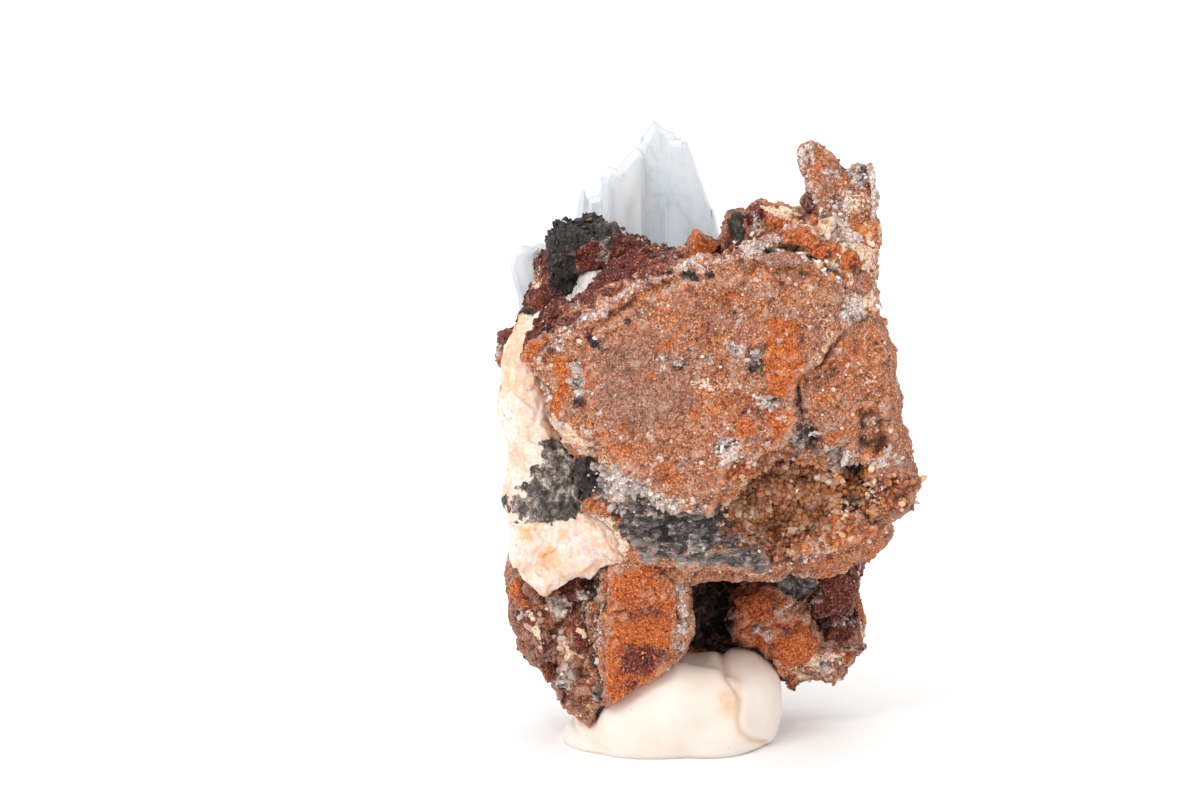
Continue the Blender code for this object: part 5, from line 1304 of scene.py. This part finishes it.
@dataclass
class RockCrystals:
    """Single clear and milky quartz crystals, in nests on the rock."""

    sink: float = 0.32
    tilt: float = 0.6

    def build(self, base: bpy.types.Object) -> bpy.types.Object:
        """Grows every nest where it sits on the rock.

        Args:
            base: the finished rock.

        Returns:
            All the crystals as one object.
        """
        points = points_of(base.data)
        facing = smooth(-normals_of(base.data)[:, 1], -0.1, 0.4)
        rng = np.random.default_rng(31)
        whole = bmesh.new()
        for n, nest in enumerate(NESTS):
            away = np.linalg.norm(points[:, (0, 2)] - np.array(nest.middle), axis=1)
            front, back = nest.depth
            density = np.exp(-(away / nest.spread) ** 2) * facing * (points[:, 1] > front) * (points[:, 1] < back)
            own = np.array([linear(code)[:3] for code in nest.tints])
            tints = own[rng.integers(0, len(own), len(points))]
            bed = GrainBed("nest", GrainShape.QUARTZ, nest.count, nest.radius, nest.stretch, self.sink, self.tilt, 61 + n)
            grown = bed.build(base, density, tints)
            whole.from_mesh(grown.data)
            bpy.data.objects.remove(grown)
        return object_from(whole, "rock_crystals")

    def dress(self, crystals: bpy.types.Object, material: bpy.types.Material) -> None:
        """Finishes the crystals like those of the druse."""
        dress(crystals, material, "quartz_druse")


# White calcite vein


@dataclass(frozen=True)
class CalciteFinish:
    """Cleaved vein calcite: milky white spar, warmed to cream and peach by iron."""

    name: str = "cleaved_vein_calcite"

    def material(self) -> bpy.types.Material:
        """Builds the material.

        Returns:
            A milky material with a black oxide film where its mask says.
        """
        made = bpy.data.materials.new(self.name)
        made.use_nodes = True
        tree = made.node_tree
        tree.nodes.clear()
        place = add_node(tree, "ShaderNodeTexCoord").outputs["Object"]
        cloud = add_node(tree, "ShaderNodeTexNoise", {
            "Vector": place, "Scale": per_metre(3.0), "Detail": 5.0, "Roughness": 0.6})
        fleck = add_node(tree, "ShaderNodeTexVoronoi", {"Vector": place, "Scale": per_metre(0.22)})
        fern = add_node(tree, "ShaderNodeMapping", {"Vector": place, "Scale": (1.0, 1.0, 0.5)})
        ragged = add_node(tree, "ShaderNodeTexNoise", {
            "Vector": fern.outputs["Vector"], "Scale": per_metre(0.5), "Detail": 8.0, "Roughness": 0.8})
        smoke = add_node(tree, "ShaderNodeTexNoise", {
            "Vector": place, "Scale": per_metre(1.3), "Detail": 9.0, "Roughness": 0.82}).outputs["Fac"]
        pick = add_node(tree, "ShaderNodeSeparateColor", {"Color": fleck.outputs["Color"]})
        spar = add_node(tree, "ShaderNodeValToRGB", {"Fac": cloud.outputs["Fac"]}, stops=(
            (0.32, "#EBE2DF"), (0.44, "#F1DCD0"), (0.53, "#F0C9AD"), (0.66, "#E2A67C")))
        grain = add_node(tree, "ShaderNodeValToRGB", {"Fac": pick.outputs["Red"]}, stops=(
            (0.0, "#D9976A"), (0.1, "#EEC7A8"), (0.5, "#F7E2D6"), (1.0, "#FFFFFF")))
        colour = add_node(tree, "ShaderNodeMixRGB", {
            "Fac": 0.3, "Color1": spar.outputs["Color"], "Color2": grain.outputs["Color"]}).outputs["Color"]
        films = add_node(tree, "ShaderNodeAttribute", attribute_name="films")
        masks = add_node(tree, "ShaderNodeSeparateColor", {"Color": films.outputs["Color"]}).outputs
        inks = (
            (masks["Red"], 1.0, 1.75, ((0.3, "#D98A48"), (0.5, "#EBAE78"), (0.7, "#F5CFA6"))),
            (masks["Green"], 1.25, 1.55, ((0.3, "#A39891"), (0.45, "#D2C9C3"), (0.6, "#EDE8E4"), (0.7, "#FFFFFF"))),
            (masks["Blue"], 1.3, 1.46, ((0.32, "#110E0C"), (0.44, "#2D2723"), (0.5, "#564B45"), (0.55, "#94857B"), (0.63, "#E2D5C8"))),
        )
        for mask, low, high, stops in inks:
            lifted = add_node(tree, "ShaderNodeMath", {
                0: ragged.outputs["Fac"], 1: 1.7, 2: mask}, operation="MULTIPLY_ADD")
            cover = add_node(tree, "ShaderNodeMapRange", {
                "Value": lifted.outputs[0], "From Min": low, "From Max": high}, interpolation_type="SMOOTHSTEP")
            own = add_node(tree, "ShaderNodeValToRGB", {"Fac": smoke}, stops=stops)
            colour = add_node(tree, "ShaderNodeMixRGB", {
                "Fac": cover.outputs["Result"], "Color1": colour, "Color2": own.outputs["Color"]}).outputs["Color"]
        bump = add_node(tree, "ShaderNodeBump", {
            "Strength": 0.7, "Distance": 0.09 * MM, "Height": ragged.outputs["Fac"]})
        shader = add_node(tree, "ShaderNodeBsdfPrincipled", {
            "Base Color": colour, "Roughness": 0.38, "Normal": bump.outputs["Normal"],
            "Subsurface Weight": 0.35, "Subsurface Scale": 0.6 * MM, "Subsurface Radius": (1.0, 0.7, 0.5)})
        add_node(tree, "ShaderNodeOutputMaterial", {"Surface": shader.outputs["BSDF"]})
        return made


FILM_OCHRE: tuple[Patch, ...] = (
    Patch(Mineral.OCHRE, [(-15.0, 33.0), (-13.8, 33.4), (-13.0, 31.8), (-13.8, 30.2), (-15.0, 30.8)], (-12, 4), edge=0.8, strength=0.62),
    Patch(Mineral.OCHRE, [(-12.8, 30.6), (-11.9, 30.2), (-12.0, 27.2), (-12.8, 27.6)], (-12, 4), edge=0.5, strength=0.6),
    Patch(Mineral.OCHRE, [(-12.4, 18.2), (-10.8, 18.4), (-9.0, 17.6), (-9.4, 16.8), (-11.8, 17.2)], (-12, 4), edge=0.7, strength=0.42),
    Patch(Mineral.OCHRE, [(-15.0, 31.2), (-13.6, 31.6), (-12.6, 29.6), (-12.8, 26.6), (-14.4, 26.0), (-15.4, 28.0)], (-12, 4), edge=1.0, strength=0.5),
    Patch(Mineral.OCHRE, [(-12.8, 26.2), (-11.4, 25.9), (-9.4, 24.2), (-10.0, 23.4), (-11.8, 25.0)], (-12, 4), edge=0.5, strength=0.6),
    Patch(Mineral.OCHRE, [(-12.6, 17.2), (-11.4, 16.6), (-11.6, 15.2), (-12.8, 15.6)], (-12, 4), edge=0.6, strength=0.7),
    Patch(Mineral.OCHRE, [(-10.9, 18.4), (-10.0, 18.2), (-10.2, 17.4), (-11.0, 17.5)], (-12, 4), edge=0.4, strength=0.7),
    Patch(Mineral.OCHRE, [(-14.2, 18.4), (-13.2, 18.4), (-13.1, 17.3), (-14.1, 17.1)], (-12, 4), edge=0.4, strength=1.0),
    Patch(Mineral.OCHRE, [(-12.6, 14.4), (-11.8, 14.2), (-12.0, 12.8), (-12.8, 13.0)], (-12, 4), edge=0.5, strength=0.6),
)
FILM_GREY: tuple[Patch, ...] = (
    Patch(Mineral.QUARTZ, [(-9.4, 22.6), (-7.6, 22.6), (-7.0, 20.6), (-8.6, 20.0), (-9.8, 20.6)], (-12, 4), edge=0.6, strength=0.8),
    Patch(Mineral.QUARTZ, [(-14.4, 22.6), (-12.8, 24.2), (-12.0, 23.4), (-13.4, 21.6)], (-12, 4), edge=0.6, strength=0.45),
    Patch(Mineral.QUARTZ, [(-8.8, 17.0), (-7.2, 17.2), (-7.0, 15.8), (-8.4, 15.6)], (-12, 4), edge=0.5, strength=0.6),
    Patch(Mineral.QUARTZ, [(-12.0, 37.6), (-6.0, 37.6), (-6.0, 33.4), (-12.0, 33.4)], (-12, 4), edge=0.5, strength=0.85),
    Patch(Mineral.QUARTZ, [(-15.0, 32.6), (-13.4, 32.8), (-13.2, 29.6), (-14.6, 29.8)], (-12, 4), edge=0.8, strength=0.5),
    Patch(Mineral.QUARTZ, [(-15.0, 17.6), (-12.9, 17.8), (-12.6, 14.4), (-14.4, 14.8)], (-12, 4), edge=0.9, strength=0.58),
    Patch(Mineral.QUARTZ, [(-10.6, 18.0), (-8.2, 17.6), (-8.0, 15.0), (-10.8, 14.6)], (-12, 4), edge=0.9, strength=0.58),
    Patch(Mineral.QUARTZ, [(-11.6, 23.4), (-10.6, 23.4), (-10.4, 21.6), (-11.4, 21.4)], (-12, 4), edge=0.5, strength=0.5),
)
FILM_BLACK: tuple[Patch, ...] = (
    Patch(Mineral.BLACK, [(-12.2, 25.1), (-11.0, 25.4), (-10.2, 24.4), (-8.8, 23.6), (-8.0, 21.8), (-8.4, 20.4), (-9.4, 19.4),
                          (-10.8, 18.9), (-12.4, 18.6), (-13.4, 19.2), (-14.8, 19.4), (-14.4, 20.6), (-13.4, 21.8), (-12.8, 22.8), (-12.6, 23.8)],
          (-12, 4), edge=0.6),
    Patch(Mineral.BLACK, [(-15.4, 19.5), (-13.4, 20.4)], (-12, 4), width=0.22, edge=0.3),
    Patch(Mineral.BLACK, [(-14.8, 18.6), (-13.0, 19.2)], (-12, 4), width=0.14, edge=0.3),
    Patch(Mineral.BLACK, [(-14.2, 21.2), (-12.6, 21.8)], (-12, 4), width=0.15, edge=0.3),
    Patch(Mineral.BLACK, [(-13.6, 22.2), (-12.4, 23.4)], (-12, 4), width=0.12, edge=0.3),
)
CLEAVAGE = ((1.0, 0.1, 0.25), (0.15, 1.0, -0.3), (-0.45, 0.1, 1.0))


@dataclass
class WhiteVein:
    """The band of calcite down the left side, and the wedge over the left leg."""

    voxel: float = 0.13
    swell: float = 0.2
    sliver: float = 0.14
    crust_wall: float = -2.4
    lean: float = 0.68

    def build(self) -> bpy.types.Object:
        """Makes the fine vein, stepped along its cleavage, with its films painted on.

        Returns:
            The vein, still without a material.
        """
        vein = fine_skin(merged_copy("white_vein"), "vein", self.swell, self.voxel, 3)
        points, normals = points_of(vein.data), normals_of(vein.data)
        bent = points.copy()
        for axis in (0, 2):
            bent[:, axis] += 0.5 * fractal(points, 1.0, 4, 61.0 + axis)
        films = np.zeros((len(points), 3))
        for channel, patches in enumerate((FILM_OCHRE, FILM_GREY, FILM_BLACK)):
            for patch in patches:
                films[:, channel] = np.maximum(films[:, channel], patch.share(points, bent))
        behind = smooth(points[:, 1], -3.0, 0.0)
        films[:, 0] = np.maximum(films[:, 0], behind * smooth(fractal(points, 2.2, 3, 67), 0.1, 0.45) * 0.8)
        films[:, 2] = np.maximum(films[:, 2], behind * smooth(fractal(points, 2.8, 4, 71), 0.3, 0.5))
        black = films[:, 2]
        stepped = snapped(points, CLEAVAGE, 2.4, 0.1 - 0.05 * black, 73)
        rise = 0.3 * fractal(points, 2.6, 4, 79) + 0.11 * fractal(points, 0.8, 3, 89)
        rise += black * 0.3 * fractal(points, 0.7, 3, 83, (0.6, 1.0, 1.5))
        rise += self.sliver * smooth(points[:, 2], 33.0, 34.5) * smooth(points[:, 0], -12.6, -11.8)
        # The sliver's tip leans back on the crust, and sinks a little so that it keeps its place from the front.
        back = np.maximum(self.crust_wall - points[:, 1], 0.0) * self.lean * smooth(points[:, 2], 34.4, 36.0)
        leaned = np.stack((np.zeros_like(back), back, -0.21 * back), axis=1)
        move_points(vein.data, stepped + normals * rise[:, None] + leaned)
        write_colours(vein.data, "films", films)
        return vein

    def dress(self, vein: bpy.types.Object) -> None:
        """Finishes the vein and lets it stand for its CAD node."""
        dress(vein, CalciteFinish().material(), "white_calcite", "white_vein")


# Barite


@dataclass(frozen=True)
class BariteFinish:
    """Clear to silky blue barite: see-through edges, milky and finely ribbed lengthwise."""

    name: str = "blue_barite_crystal"
    ior: float = 1.637
    rib: float = 0.16
    frost: float = 1.6

    def material(self) -> bpy.types.Material:
        """Builds the material.

        Returns:
            A pale blue, part clear material.
        """
        made = bpy.data.materials.new(self.name)
        made.use_nodes = True
        tree = made.node_tree
        tree.nodes.clear()
        place = add_node(tree, "ShaderNodeTexCoord").outputs["Object"]
        long = add_node(tree, "ShaderNodeMapping", {"Vector": place, "Scale": (1.0, 1.0, 0.07)})
        ribs = add_node(tree, "ShaderNodeTexNoise", {
            "Vector": long.outputs["Vector"], "Scale": per_metre(self.rib), "Detail": 4.0, "Roughness": 0.6})
        broad = add_node(tree, "ShaderNodeMapping", {"Vector": place, "Scale": (1.0, 1.0, 0.22)})
        bands = add_node(tree, "ShaderNodeTexNoise", {
            "Vector": broad.outputs["Vector"], "Scale": per_metre(1.1), "Detail": 4.0, "Roughness": 0.6})
        milk = add_node(tree, "ShaderNodeValToRGB", {"Fac": bands.outputs["Fac"]}, stops=(
            (0.3, "#E3EDF6"), (0.42, "#F1F6FA"), (0.54, "#FBFCFD"), (0.7, "#FFFFFF")))
        lines = add_node(tree, "ShaderNodeValToRGB", {"Fac": ribs.outputs["Fac"]}, stops=(
            (0.3, "#EBF0F4"), (0.42, "#F9FBFC"), (0.6, "#FFFFFF"), (0.75, "#FFFFFF")))
        colour = add_node(tree, "ShaderNodeMixRGB", {
            "Fac": 0.5, "Color1": milk.outputs["Color"], "Color2": lines.outputs["Color"]}, blend_type="MULTIPLY")
        frost = add_node(tree, "ShaderNodeTexNoise", {
            "Vector": place, "Scale": per_metre(self.frost), "Detail": 6.0, "Roughness": 0.7}).outputs["Fac"]
        rime = add_node(tree, "ShaderNodeValToRGB", {"Fac": frost}, stops=(
            (0.34, "#D3D8DE"), (0.44, "#F2F5F8"), (0.56, "#FFFFFF")))
        colour = add_node(tree, "ShaderNodeMixRGB", {
            "Fac": 0.7, "Color1": colour.outputs["Color"], "Color2": rime.outputs["Color"]}, blend_type="MULTIPLY")
        spot = add_node(tree, "ShaderNodeSeparateXYZ", {"Vector": place}).outputs
        for side, depth, code, weight in (((-5.5, 1.5), (47.0, 37.0), "#D3E4F1", 0.8), ((-4.5, -9.0), (43.0, 34.0), "#DAD8DB", 0.5)):
            across, down = (add_node(tree, "ShaderNodeMapRange", {
                "Value": spot[axis], "From Min": low * MM, "From Max": high * MM}).outputs["Result"]
                for axis, (low, high) in (("X", side), ("Z", depth)))
            share = add_node(tree, "ShaderNodeMath", {
                0: add_node(tree, "ShaderNodeMath", {0: across, 1: down}, operation="MULTIPLY").outputs[0],
                1: weight}, operation="MULTIPLY").outputs[0]
            colour = add_node(tree, "ShaderNodeMixRGB", {
                "Fac": share, "Color1": colour.outputs["Color"], "Color2": linear(code)})
        bump = add_node(tree, "ShaderNodeBump", {
            "Strength": 0.3, "Distance": 0.06 * MM, "Height": ribs.outputs["Fac"]})
        shader = add_node(tree, "ShaderNodeBsdfPrincipled", {
            "Base Color": colour.outputs["Color"], "Roughness": 0.3, "IOR": self.ior,
            "Transmission Weight": 0.35, "Normal": bump.outputs["Normal"], "Subsurface Weight": 0.35,
            "Subsurface Scale": 2.0 * MM, "Subsurface Radius": (1.0, 1.0, 1.0)})
        absorb = add_node(tree, "ShaderNodeVolumeAbsorption", {"Color": linear("#C9DDEF"), "Density": 25.0})
        add_node(tree, "ShaderNodeOutputMaterial", {
            "Surface": shader.outputs["BSDF"], "Volume": absorb.outputs["Volume"]})
        return made


@dataclass
class BariteCluster:
    """Barite blades, split into the thin upright laths that the real ones are built of."""

    node: str
    name: str
    lath: float = 0.62
    overlap: float = 0.05
    drop: float = 0.55
    shift: float = 0.08
    seed: int = 3

    def build(self) -> bpy.types.Object:
        """Slices the CAD blades into laths, staggers them and grows them together again.

        Returns:
            The crystal cluster as one closed mesh.
        """
        rng = np.random.default_rng(self.seed)
        whole = merged_copy(self.node)
        low, high = (side[0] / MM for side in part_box(self.node))
        laths = bmesh.new()
        left = low - self.overlap
        while left < high:
            width = self.lath * (0.55 + 0.9 * rng.random())
            piece = self.slice(whole, left - self.overlap, min(left + width, high + 0.1) + self.overlap)
            drop = -self.drop * rng.random() ** 2
            push = self.shift * (rng.random() - 0.5)
            bmesh.ops.translate(piece, verts=piece.verts[:], vec=(0, push * MM, drop * MM))
            held = bpy.data.meshes.new("lath")
            piece.to_mesh(held)
            piece.free()
            laths.from_mesh(held)
            bpy.data.meshes.remove(held)
            left += width
        whole.free()
        cluster = object_from(laths, self.name)
        grown = bmesh.new()
        bmesh.ops.create_cube(grown, size=0.2 * MM, matrix=Matrix.Translation(self.middle()))
        seed_crystal = object_from(grown, "seed_crystal")
        union = cluster.modifiers.new("intergrown", "BOOLEAN")
        union.operation = "UNION"
        union.use_self = True
        union.object = seed_crystal
        settle(cluster)
        bpy.data.objects.remove(seed_crystal)
        return cluster

    def slice(self, whole: bmesh.types.BMesh, left: float, right: float) -> bmesh.types.BMesh:
        """Cuts one upright lath out of the blades.

        Args:
            whole: the blades.
            left: where the lath starts, in millimetres.
            right: where it ends.

        Returns:
            The lath, closed.
        """
        lath = whole.copy()
        for place, way in ((left, -1), (right, 1)):
            cut = bmesh.ops.bisect_plane(
                lath, geom=lath.verts[:] + lath.edges[:] + lath.faces[:],
                plane_co=(place * MM, 0, 0), plane_no=(way, 0, 0), clear_outer=True)
            rim = [e for e in cut["geom_cut"] if isinstance(e, bmesh.types.BMEdge)]
            if rim:
                bmesh.ops.edgeloop_fill(lath, edges=rim)
        bmesh.ops.recalc_face_normals(lath, faces=lath.faces[:])
        return lath

    def middle(self) -> Vector:
        """A place well inside the blades."""
        low, high = (Vector(side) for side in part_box(self.node))
        return (low + high) / 2

    def dress(self, cluster: bpy.types.Object, material: bpy.types.Material) -> None:
        """Finishes the crystals and lets them stand for their CAD node."""
        dress(cluster, material, "blue_barite", self.node)


# Quartz druse


@dataclass(frozen=True)
class QuartzFinish:
    """Small glassy quartz, iron-stained amber to honey, in the hollow."""

    name: str = "amber_quartz_druse"

    def material(self) -> bpy.types.Material:
        """Builds the material.

        Returns:
            A glassy material that reads each crystal's tint.
        """
        made = bpy.data.materials.new(self.name)
        made.use_nodes = True
        tree = made.node_tree
        tree.nodes.clear()
        tint = add_node(tree, "ShaderNodeAttribute", attribute_name="tint")
        shader = add_node(tree, "ShaderNodeBsdfPrincipled", {
            "Base Color": tint.outputs["Color"], "Roughness": 0.16, "IOR": 1.544, "Transmission Weight": 0.35})
        add_node(tree, "ShaderNodeOutputMaterial", {"Surface": shader.outputs["BSDF"]})
        return made


@dataclass
class QuartzDruse:
    """The crust of quartz crystals that lines the hollow, and its bed."""

    def build(self, crystals: GrainBed) -> bpy.types.Object:
        """Grows crystals all over the CAD bed.

        Args:
            crystals: how many there are, and their sizes.

        Returns:
            Bed and crystals in one object.
        """
        bed = fine_skin(merged_copy("quartz_druse"), "druse_bed", 0.22, 0.16, 3)
        points = points_of(bed.data)
        rng = np.random.default_rng(19)
        tints = druse_tints(points, rng)
        write_colours(bed.data, "tint", tints * 0.5)
        front = smooth(-normals_of(bed.data)[:, 1], -0.2, 0.3)
        grown = crystals.build(bed, front + 0.001, tints)
        bm = bmesh.new()
        bm.from_mesh(bed.data)
        bm.from_mesh(grown.data)
        for loose in (bed, grown):
            bpy.data.objects.remove(loose)
        return object_from(bm, "druse")

    def dress(self, druse: bpy.types.Object, material: bpy.types.Material) -> None:
        """Finishes the druse and lets it stand for its CAD node."""
        dress(druse, material, "quartz_druse", "quartz_druse")


# Putty


@dataclass(frozen=True)
class PuttyFinish:
    """Soft mounting putty, thumbed smooth: waxy cream, with a rust stain at its fold."""

    name: str = "thumbed_putty"

    def material(self) -> bpy.types.Material:
        """Builds the material.

        Returns:
            A soft, slightly waxy cream material.
        """
        made = bpy.data.materials.new(self.name)
        made.use_nodes = True
        tree = made.node_tree
        tree.nodes.clear()
        place = add_node(tree, "ShaderNodeTexCoord").outputs["Object"]
        cloud = add_node(tree, "ShaderNodeTexNoise", {
            "Vector": place, "Scale": per_metre(2.6), "Detail": 3.0, "Roughness": 0.5})
        dirt = add_node(tree, "ShaderNodeTexVoronoi", {"Vector": place, "Scale": per_metre(1.15)})
        base = add_node(tree, "ShaderNodeValToRGB", {"Fac": cloud.outputs["Fac"]}, stops=(
            (0.35, "#E6D8CB"), (0.6, "#EBDFD5")))
        stain = add_node(tree, "ShaderNodeSeparateColor", {
            "Color": add_node(tree, "ShaderNodeAttribute", attribute_name="stain").outputs["Color"]}).outputs["Red"]
        colour = add_node(tree, "ShaderNodeMixRGB", {
            "Fac": stain, "Color1": base.outputs["Color"], "Color2": linear("#E2B47F")}).outputs["Color"]
        speck = add_node(tree, "ShaderNodeMapRange", {
            "Value": dirt.outputs["Distance"], "From Min": 0.04, "From Max": 0.075, "To Min": 0.5, "To Max": 0.0})
        colour = add_node(tree, "ShaderNodeMixRGB", {
            "Fac": speck.outputs["Result"], "Color1": colour, "Color2": linear("#9C7A58")})
        fine = add_node(tree, "ShaderNodeTexNoise", {
            "Vector": place, "Scale": per_metre(0.35), "Detail": 3.0, "Roughness": 0.6})
        bump = add_node(tree, "ShaderNodeBump", {
            "Strength": 0.25, "Distance": 0.05 * MM, "Height": fine.outputs["Fac"]})
        shader = add_node(tree, "ShaderNodeBsdfPrincipled", {
            "Base Color": colour.outputs["Color"], "Roughness": 0.52, "Normal": bump.outputs["Normal"],
            "Subsurface Weight": 0.3, "Subsurface Scale": 1.2 * MM, "Subsurface Radius": (1.0, 0.6, 0.35)})
        add_node(tree, "ShaderNodeOutputMaterial", {"Surface": shader.outputs["BSDF"]})
        return made


@dataclass
class MountingPutty:
    """The wad of putty that the specimen stands in, folded over at its right end."""

    voxel: float = 0.2
    fold: Outline = ((0.9, 8.4), (1.2, 7.4), (1.9, 6.1), (2.6, 4.5), (2.35, 3.0), (2.6, 2.0), (3.4, 1.1), (4.4, 0.5))
    fold_depth: float = 0.26
    fold_width: float = 0.22
    lobe: Outline = ((-10.4, 2.1), (-9.8, 1.2), (-8.6, 0.7), (-7.4, 0.5))
    slump: float = 0.65
    squeezed: tuple[float, float, float] = (-2.9, -4.5, 3.1)
    squeezed_size: tuple[float, float, float] = (5.9, 2.75, 3.55)
    squeezed_slope: float = -0.5

    def build(self) -> bpy.types.Object:
        """Smooths the wad, squeezes it up the left leg, presses the fold in and dents it with a thumb.

        Returns:
            The wad, still without a material.
        """
        whole = merged_copy("mounting_putty")
        placed = Matrix.Translation(Vector(self.squeezed) * MM) @ Matrix.Rotation(self.squeezed_slope, 4, "Y") \
            @ Matrix.Diagonal((*(Vector(self.squeezed_size) * MM), 1.0))
        bmesh.ops.create_icosphere(whole, subdivisions=4, radius=1.0, matrix=placed)
        wad = fine_skin(whole, "putty", 0.12, self.voxel, 40)
        points, normals = points_of(wad.data), normals_of(wad.data)
        away = -outline_distance(points[:, (0, 2)], self.fold, closed=False)
        crease = np.exp(-(away / self.fold_width) ** 2)
        lip = np.exp(-((away - 0.6) / 0.45) ** 2)
        dents = 0.14 * fractal(points, 4.0, 2, 97)
        rise = 0.09 * lip - self.fold_depth * crease + dents
        near = -outline_distance(points[:, (0, 2)], self.lobe, closed=False)
        rise -= 0.14 * np.exp(-(near / 0.2) ** 2)
        moved = points + normals * rise[:, None]
        moved[:, 2] -= self.slump * smooth(points[:, 2], 4.6, 7.2) * smooth(points[:, 0], -2.6, -0.6)
        flat = points[:, 2] < 0.25
        moved[flat] = points[flat]
        moved[:, 2] = np.where(moved[:, 2] < 0.12, 0.0, moved[:, 2])
        move_points(wad.data, moved)
        left = smooth(-(points[:, 0] - 2.6), -0.3, 0.3) * smooth(points[:, 0], 0.2, 1.6)
        stain = 1.0 * left * np.exp(-((points[:, 2] - 4.6) / 1.2) ** 2) * smooth(-points[:, 1], 0.0, 2.0)
        stain = np.maximum(stain * (0.75 + 0.6 * fractal(points, 0.8, 3, 101)), 0.4 * crease)
        write_colours(wad.data, "stain", np.repeat(stain[:, None], 3, axis=1))
        return wad

    def dress(self, wad: bpy.types.Object) -> None:
        """Finishes the wad and lets it stand for its CAD node."""
        dress(wad, PuttyFinish().material(), "mounting_putty", "mounting_putty")


# Studio


@dataclass
class Studio:
    """White sweep, soft light all round, and the camera at the photograph's angle."""

    aim: tuple[float, float, float] = (-8.1, 0.0, 26.5)
    distance: float = 450.0
    elevation: float = 12.0
    width: float = 91.2
    floor_size: float = 6000.0

    def build(self) -> None:
        """Sets up the floor, the lights and the camera."""
        self.camera()
        self.floor()
        self.light("overhead_sweep", (-200, 0, 1500), 4000, 16.0)
        self.light("key_softbox", (-360, -420, 420), 300, 1.25)
        self.light("glint_lamp", (-90, -330, 330), 30, 0.22)
        world = bpy.data.worlds.new("light_tent")
        world.use_nodes = True
        sky = world.node_tree.nodes["Background"]
        sky.inputs["Color"].default_value = (1.0, 1.0, 1.0, 1.0)
        sky.inputs["Strength"].default_value = 0.94
        bpy.context.scene.world = world
        bpy.context.scene.view_settings.view_transform = "Standard"

    def camera(self) -> None:
        """Puts the camera where the photograph was taken from."""
        sensor = 36.0
        lens = bpy.data.cameras.new("camera")
        lens.sensor_width = sensor
        lens.lens = sensor * self.distance / self.width
        lens.clip_start = 0.01
        made = bpy.data.objects.new("camera", lens)
        tilt = math.radians(self.elevation)
        back = Vector((0.0, -math.cos(tilt), math.sin(tilt)))
        made.location = (Vector(self.aim) + back * self.distance) * MM
        made.rotation_euler = (math.pi / 2 - tilt, 0.0, 0.0)
        bpy.context.scene.collection.objects.link(made)
        bpy.context.scene.camera = made

    def floor(self) -> None:
        """Lays the plain pale floor."""
        bm = bmesh.new()
        bmesh.ops.create_grid(bm, x_segments=1, y_segments=1, size=self.floor_size / 2 * MM)
        floor = object_from(bm, "floor")
        material = bpy.data.materials.new("white_card")
        material.use_nodes = True
        shader = material.node_tree.nodes["Principled BSDF"]
        shader.inputs["Base Color"].default_value = linear("#FBFBFB")
        shader.inputs["Roughness"].default_value = 0.7
        floor.data.materials.append(material)

    def light(self, name: str, place: tuple[float, float, float], size: float, power: float) -> None:
        """Hangs one soft light that looks at the specimen.

        Args:
            name: the light's name.
            place: where it hangs, in millimetres.
            size: width of its face in millimetres.
            power: watts.
        """
        lamp = bpy.data.lights.new(name, "AREA")
        lamp.shape = "DISK"
        lamp.size = size * MM
        lamp.energy = power
        made = bpy.data.objects.new(name, lamp)
        made.location = Vector(place) * MM
        away = Vector(place) - Vector((0.0, 0.0, 24.0))
        made.rotation_euler = away.to_track_quat("Z", "Y").to_euler()
        bpy.context.scene.collection.objects.link(made)


def main() -> None:
    """Builds every piece in order."""
    logging.basicConfig(level=logging.INFO, format="%(message)s")
    Studio().build()

    rock = MatrixRock()
    rock_piece = rock.build()
    stone = RockFinish().material()
    rock.dress(rock_piece, stone)
    flakes = RockFlakes(rock)
    flakes.dress(flakes.build(rock_piece), stone)
    grains = RockGrains(rock)
    grains.dress(grains.build(rock_piece))

    vein = WhiteVein()
    vein.dress(vein.build())

    barite = BariteFinish().material()
    for cluster in (
        BariteCluster("barite_fan", "barite_blades", seed=3),
        BariteCluster("barite_side_crystal", "barite_side_blades", lath=0.9, drop=0.3, seed=8),
    ):
        cluster.dress(cluster.build(), barite)

    glassy = QuartzFinish().material()
    crystals = RockCrystals()
    crystals.dress(crystals.build(rock_piece), glassy)
    druse = QuartzDruse()
    druse.dress(druse.build(GrainBed("druse_points", GrainShape.QUARTZ, 3200, (0.09, 0.34), 0.8, 0.35, 0.6, 23)), glassy)

    putty = MountingPutty()
    putty.dress(putty.build())

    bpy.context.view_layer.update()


if __name__ == "__main__":
    main()
